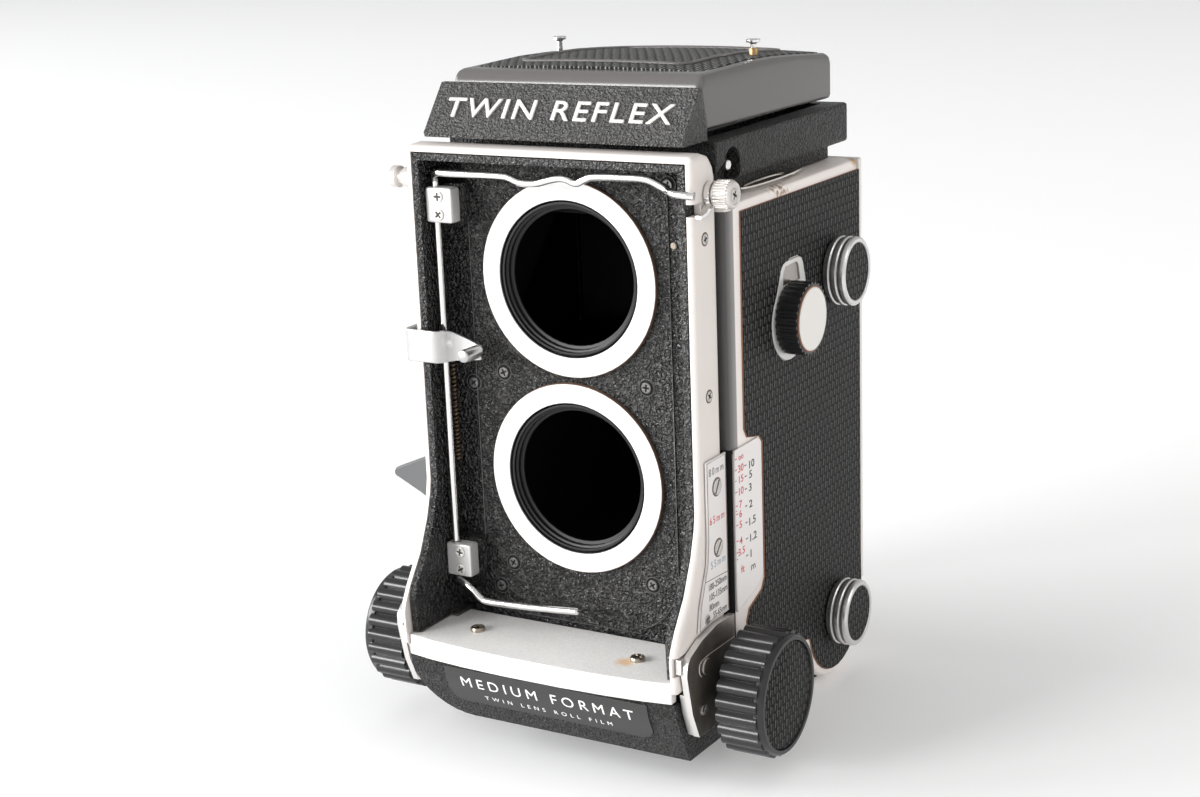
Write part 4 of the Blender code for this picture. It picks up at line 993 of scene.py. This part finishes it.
# -- knobs
KNOB_CENTRE = (-0.4, 21.45)
LOBES = 24
for side, tag in ((1, "right"), (-1, "left")):
    node = "focusing_knob_" + tag
    end = max(abs(spot(node).x), abs(spot(node, 1).x))
    grip = []
    for i in range(LOBES * 10):
        angle = 2 * math.pi * i / (LOBES * 10)
        reach = 15.35 - 1.3 * (1 - abs(math.sin(angle * LOBES / 2))) ** 1.35
        grip.append((KNOB_CENTRE[0] + reach * math.cos(angle), KNOB_CENTRE[1] + reach * math.sin(angle)))
    bm = slab([grip], "X", *sorted((side * 45.2, side * (end - 1.5))))
    rim = [(0, end - 2.4), (14.6, end - 2.4), (14.6, end - 0.5), (14.2, end), (13.3, end),
           (13.1, end - 0.7), (0, end - 0.7)]
    lathe([(radius, side * along) for radius, along in rim], "X", KNOB_CENTRE, 72, bm)
    lathe([(0, side * 41.9), (5.0, side * 41.9), (5.0, side * 45.4), (0, side * 45.4)], "X", KNOB_CENTRE, 32, bm)
    piece("knob_body_" + tag, bm, "focus_drive", M_KNOB, 40.0, (node,))
    face = spot(node, 1 if side > 0 else 0).x - side * 0.7
    disc = lathe([(0, face - side * 0.1), (13.0, face - side * 0.1), (13.0, face + side * 0.25),
                  (12.8, face + side * 0.38), (0, face + side * 0.38)], "X", KNOB_CENTRE, 64)
    piece("knob_disc_" + tag, disc, "focus_drive", M_SIDE_SKIN)
for tag, body, z in (("top", "upper_spool_knob", 111.2), ("low", "lower_spool_knob", 18.4)):
    disc = lathe([(0, 47.6), (7.3, 47.6), (7.3, 47.82), (7.2, 47.92), (0, 47.92)], "X", (63.0, z), 48)
    piece("spool_disc_" + tag, disc, body, M_SIDE_SKIN)
    bands = bmesh.new()
    for x in (43.9, 45.9):
        lathe([(8.4, x), (8.56, x + 0.02), (8.56, x + 0.58), (8.4, x + 0.6)], "X", (63.0, z), 48, bands)
    piece("spool_bands_" + tag, bands, body, M_DARK_SCREW)
TAB = [
    *circle(10.1, (36.2, 104.0), 22, 142, 360), (46.3, 108.6), (45.2, 112.6), (43.9, 116.9), (43.0, 118.2),
    (41.6, 118.75), (34.2, 118.75), (32.6, 118.3), (31.3, 117.0), (29.8, 113.4),
]
WINDOW = [(32.3, 112.9), (32.5, 116.2), (33.7, 117.6), (40.4, 117.6), (41.3, 116.8), (42.2, 112.9)]
piece("change_tab", slab([TAB, circle(2.6, CHANGE, 24), WINDOW], "X", 41.1, 41.66), BODY,
      M_CHANGE_PLATE, replaced=("lens_change_plate",))
piece("change_window", slab([WINDOW], "X", 41.1, 41.3), BODY, M_WINDOW)
disc = lathe([(0, 47.4), (7.85, 47.4), (7.85, 47.8), (7.6, 48.0), (0, 48.0)], "X", CHANGE, 64)
piece("change_disc", disc, "change_knob", M_DISC)
rim = lathe([(7.85, 47.4), (8.2, 47.4), (8.2, 47.7), (7.85, 47.8)], "X", CHANGE, 64)
piece("change_rim", rim, "change_knob", M_PRIMER)
half_discs = bmesh.new()
for start in (200, 20):
    slab([circle(8.2, TOP_SPOOL, 20, start, start + 140)], "X", -49.75, -49.3, half_discs)
piece("wind_disc", half_discs, "winder", M_SATIN)

# -- door covering
def rounded(u0, u1, v0, v1, radius, steps=6):
    outline = []
    for cu, cv, turned in ((u1 - radius, v0 + radius, 270), (u1 - radius, v1 - radius, 0),
                           (u0 + radius, v1 - radius, 90), (u0 + radius, v0 + radius, 180)):
        outline += circle(radius, (cu, cv), steps, turned, turned + 90)
    return outline


piece("door_skin", slab([rounded(-37.0, 37.0, 27.0, 133.0, 2.0)], "Y", 82.55, 83.0), "door", M_DOOR_SKIN)

# -- lid covering and frame
CROWN = [(12.0, 166.55), (22.0, 167.0), (34.0, 167.2), (48.0, 166.8), (60.0, 166.0), (70.0, 165.2), (77.0, 164.6)]


def crown(x, y):
    """Height of the lid's covering."""
    for (y0, z0), (y1, z1) in zip(CROWN, CROWN[1:]):
        if y <= y1 or (y1, z1) == CROWN[-1]:
            z = z0 + (z1 - z0) * (y - y0) / (y1 - y0)
            return z + 0.22 + 0.75 * max(0.0, 1 - (x / 31.5) ** 2)
    return 0.0


LID_STEPS = 28
xs = [-31.5 + 63.0 * i / LID_STEPS for i in range(LID_STEPS + 1)]
ys = [12.6 + 63.4 * i / LID_STEPS for i in range(LID_STEPS + 1)]
bm = covering([[(x, y, crown(x, y)) for x in xs] for y in ys], (0, 0, -0.6))
piece("lid_skin", bm, "lid", M_LID_SKIN, 40.0)
frame_line = [(x, y, crown(x, y)) for x, y in rounded(-23.5, 23.5, 20.0, 72.0, 3.0, 5)]
dense = []
for i, point in enumerate(frame_line):
    after = frame_line[(i + 1) % len(frame_line)]
    steps = max(1, int((Vector(after) - Vector(point)).length / 2.0))
    for k in range(steps):
        x = point[0] + (after[0] - point[0]) * k / steps
        y = point[1] + (after[1] - point[1]) * k / steps
        dense.append((x, y, crown(x, y) + 0.1))
piece("lid_frame", sweep(dense, 0.62, 8, 0.75, True, up=(0, 0, 1)), "lid", M_LID, 50.0)

for side, tag in ((1, "right"), (-1, "left")):
    post = [(0, 166.9), (0.72, 166.9), (0.72, 169.9), (1.2, 170.25), (1.75, 170.3), (1.78, 170.9),
            (1.6, 171.05), (0, 171.05)]
    piece("post_" + tag, lathe(post, "Z", (side * LID_POST[0], LID_POST[1]), 32), "lid", M_CHROME,
          replaced=("lid_post_" + tag,))
collar = lathe([(0.5, 167.0), (1.15, 167.0), (1.15, 168.7), (0.95, 169.0), (0.5, 169.0)], "Z", LID_POST, 24)
piece("post_collar", collar, "lid", M_BRASS)

# -- floor, light and camera
LIGHT_TARGET = Vector((0.0, 0.0, 0.08))


def area(name, place, size, power, colour=(1, 1, 1)):
    """A soft rectangular light in metres and watts, turned to the object."""
    light = bpy.data.lights.new(name, "AREA")
    light.shape = "RECTANGLE"
    light.size, light.size_y = size
    light.energy = power
    light.color = colour
    obj = linked(name, light)
    obj.location = place
    obj.rotation_euler = (LIGHT_TARGET - Vector(place)).to_track_quat("-Z", "Y").to_euler()


floor_mesh = bpy.data.meshes.new("floor")
bm = bmesh.new()
bmesh.ops.create_grid(bm, x_segments=1, y_segments=1, size=5.0)
bm.to_mesh(floor_mesh)
bm.free()
floor = linked("floor", floor_mesh)
glow = {"Emission_Color": (1.0, 1.0, 1.0, 1.0), "Emission_Strength": 0.11}
floor_mesh.materials.append(plain("floor_paper", (0.91, 0.912, 0.915), 0.8, **glow))

world = bpy.data.worlds.new("studio")
bpy.context.scene.world = world
world.use_nodes = True
sky = world.node_tree
aim = sky.nodes.new("ShaderNodeTexCoord")
toward = sky.nodes.new("ShaderNodeVectorMath")
toward.operation = "DOT_PRODUCT"
toward.inputs[1].default_value = Vector((0.35, -0.93, 0.12)).normalized()
dim = sky.nodes.new("ShaderNodeMapRange")
dim.interpolation_type = "SMOOTHSTEP"
for number, value in enumerate((0.0, 0.9, 0.50, 0.74)):
    dim.inputs[number + 1].default_value = value
sky.links.new(aim.outputs["Generated"], toward.inputs[0])
sky.links.new(toward.outputs["Value"], dim.inputs[0])
sky.links.new(dim.outputs[0], sky.nodes["Background"].inputs["Strength"])
sky.nodes["Background"].inputs["Color"].default_value = (1.0, 1.0, 1.0, 1.0)

area("key", (-3.6, -1.6, 1.3), (2.4, 1.8), 145.0)
area("front", (-1.6, -2.6, 0.9), (1.2, 0.9), 78.0)
area("right", (2.6, 0.6, 1.2), (1.6, 1.4), 17.0, (1.0, 0.955, 0.92))

CAMERA_PLACE = (0.24939, -0.43351, 0.21788)
YAW, PITCH, ROLL = (math.radians(a) for a in (30.837, -15.115, -2.2536))
forward = Vector((-math.sin(YAW) * math.cos(PITCH), math.cos(YAW) * math.cos(PITCH), math.sin(PITCH)))
level = Vector((math.cos(YAW), math.sin(YAW), 0.0))
above = level.cross(forward)
right = level * math.cos(ROLL) + above * math.sin(ROLL)
up = -level * math.sin(ROLL) + above * math.cos(ROLL)
camera_data = bpy.data.cameras.new("camera")
camera_data.lens = 60.673
camera_data.sensor_width = 36.0
camera_data.clip_start = 0.01
camera = linked("camera", camera_data)
pose = Matrix((right, up, -forward)).transposed().to_4x4()
pose.translation = Vector(CAMERA_PLACE)
camera.matrix_world = pose
bpy.context.scene.camera = camera
bpy.context.scene.view_settings.view_transform = "Standard"
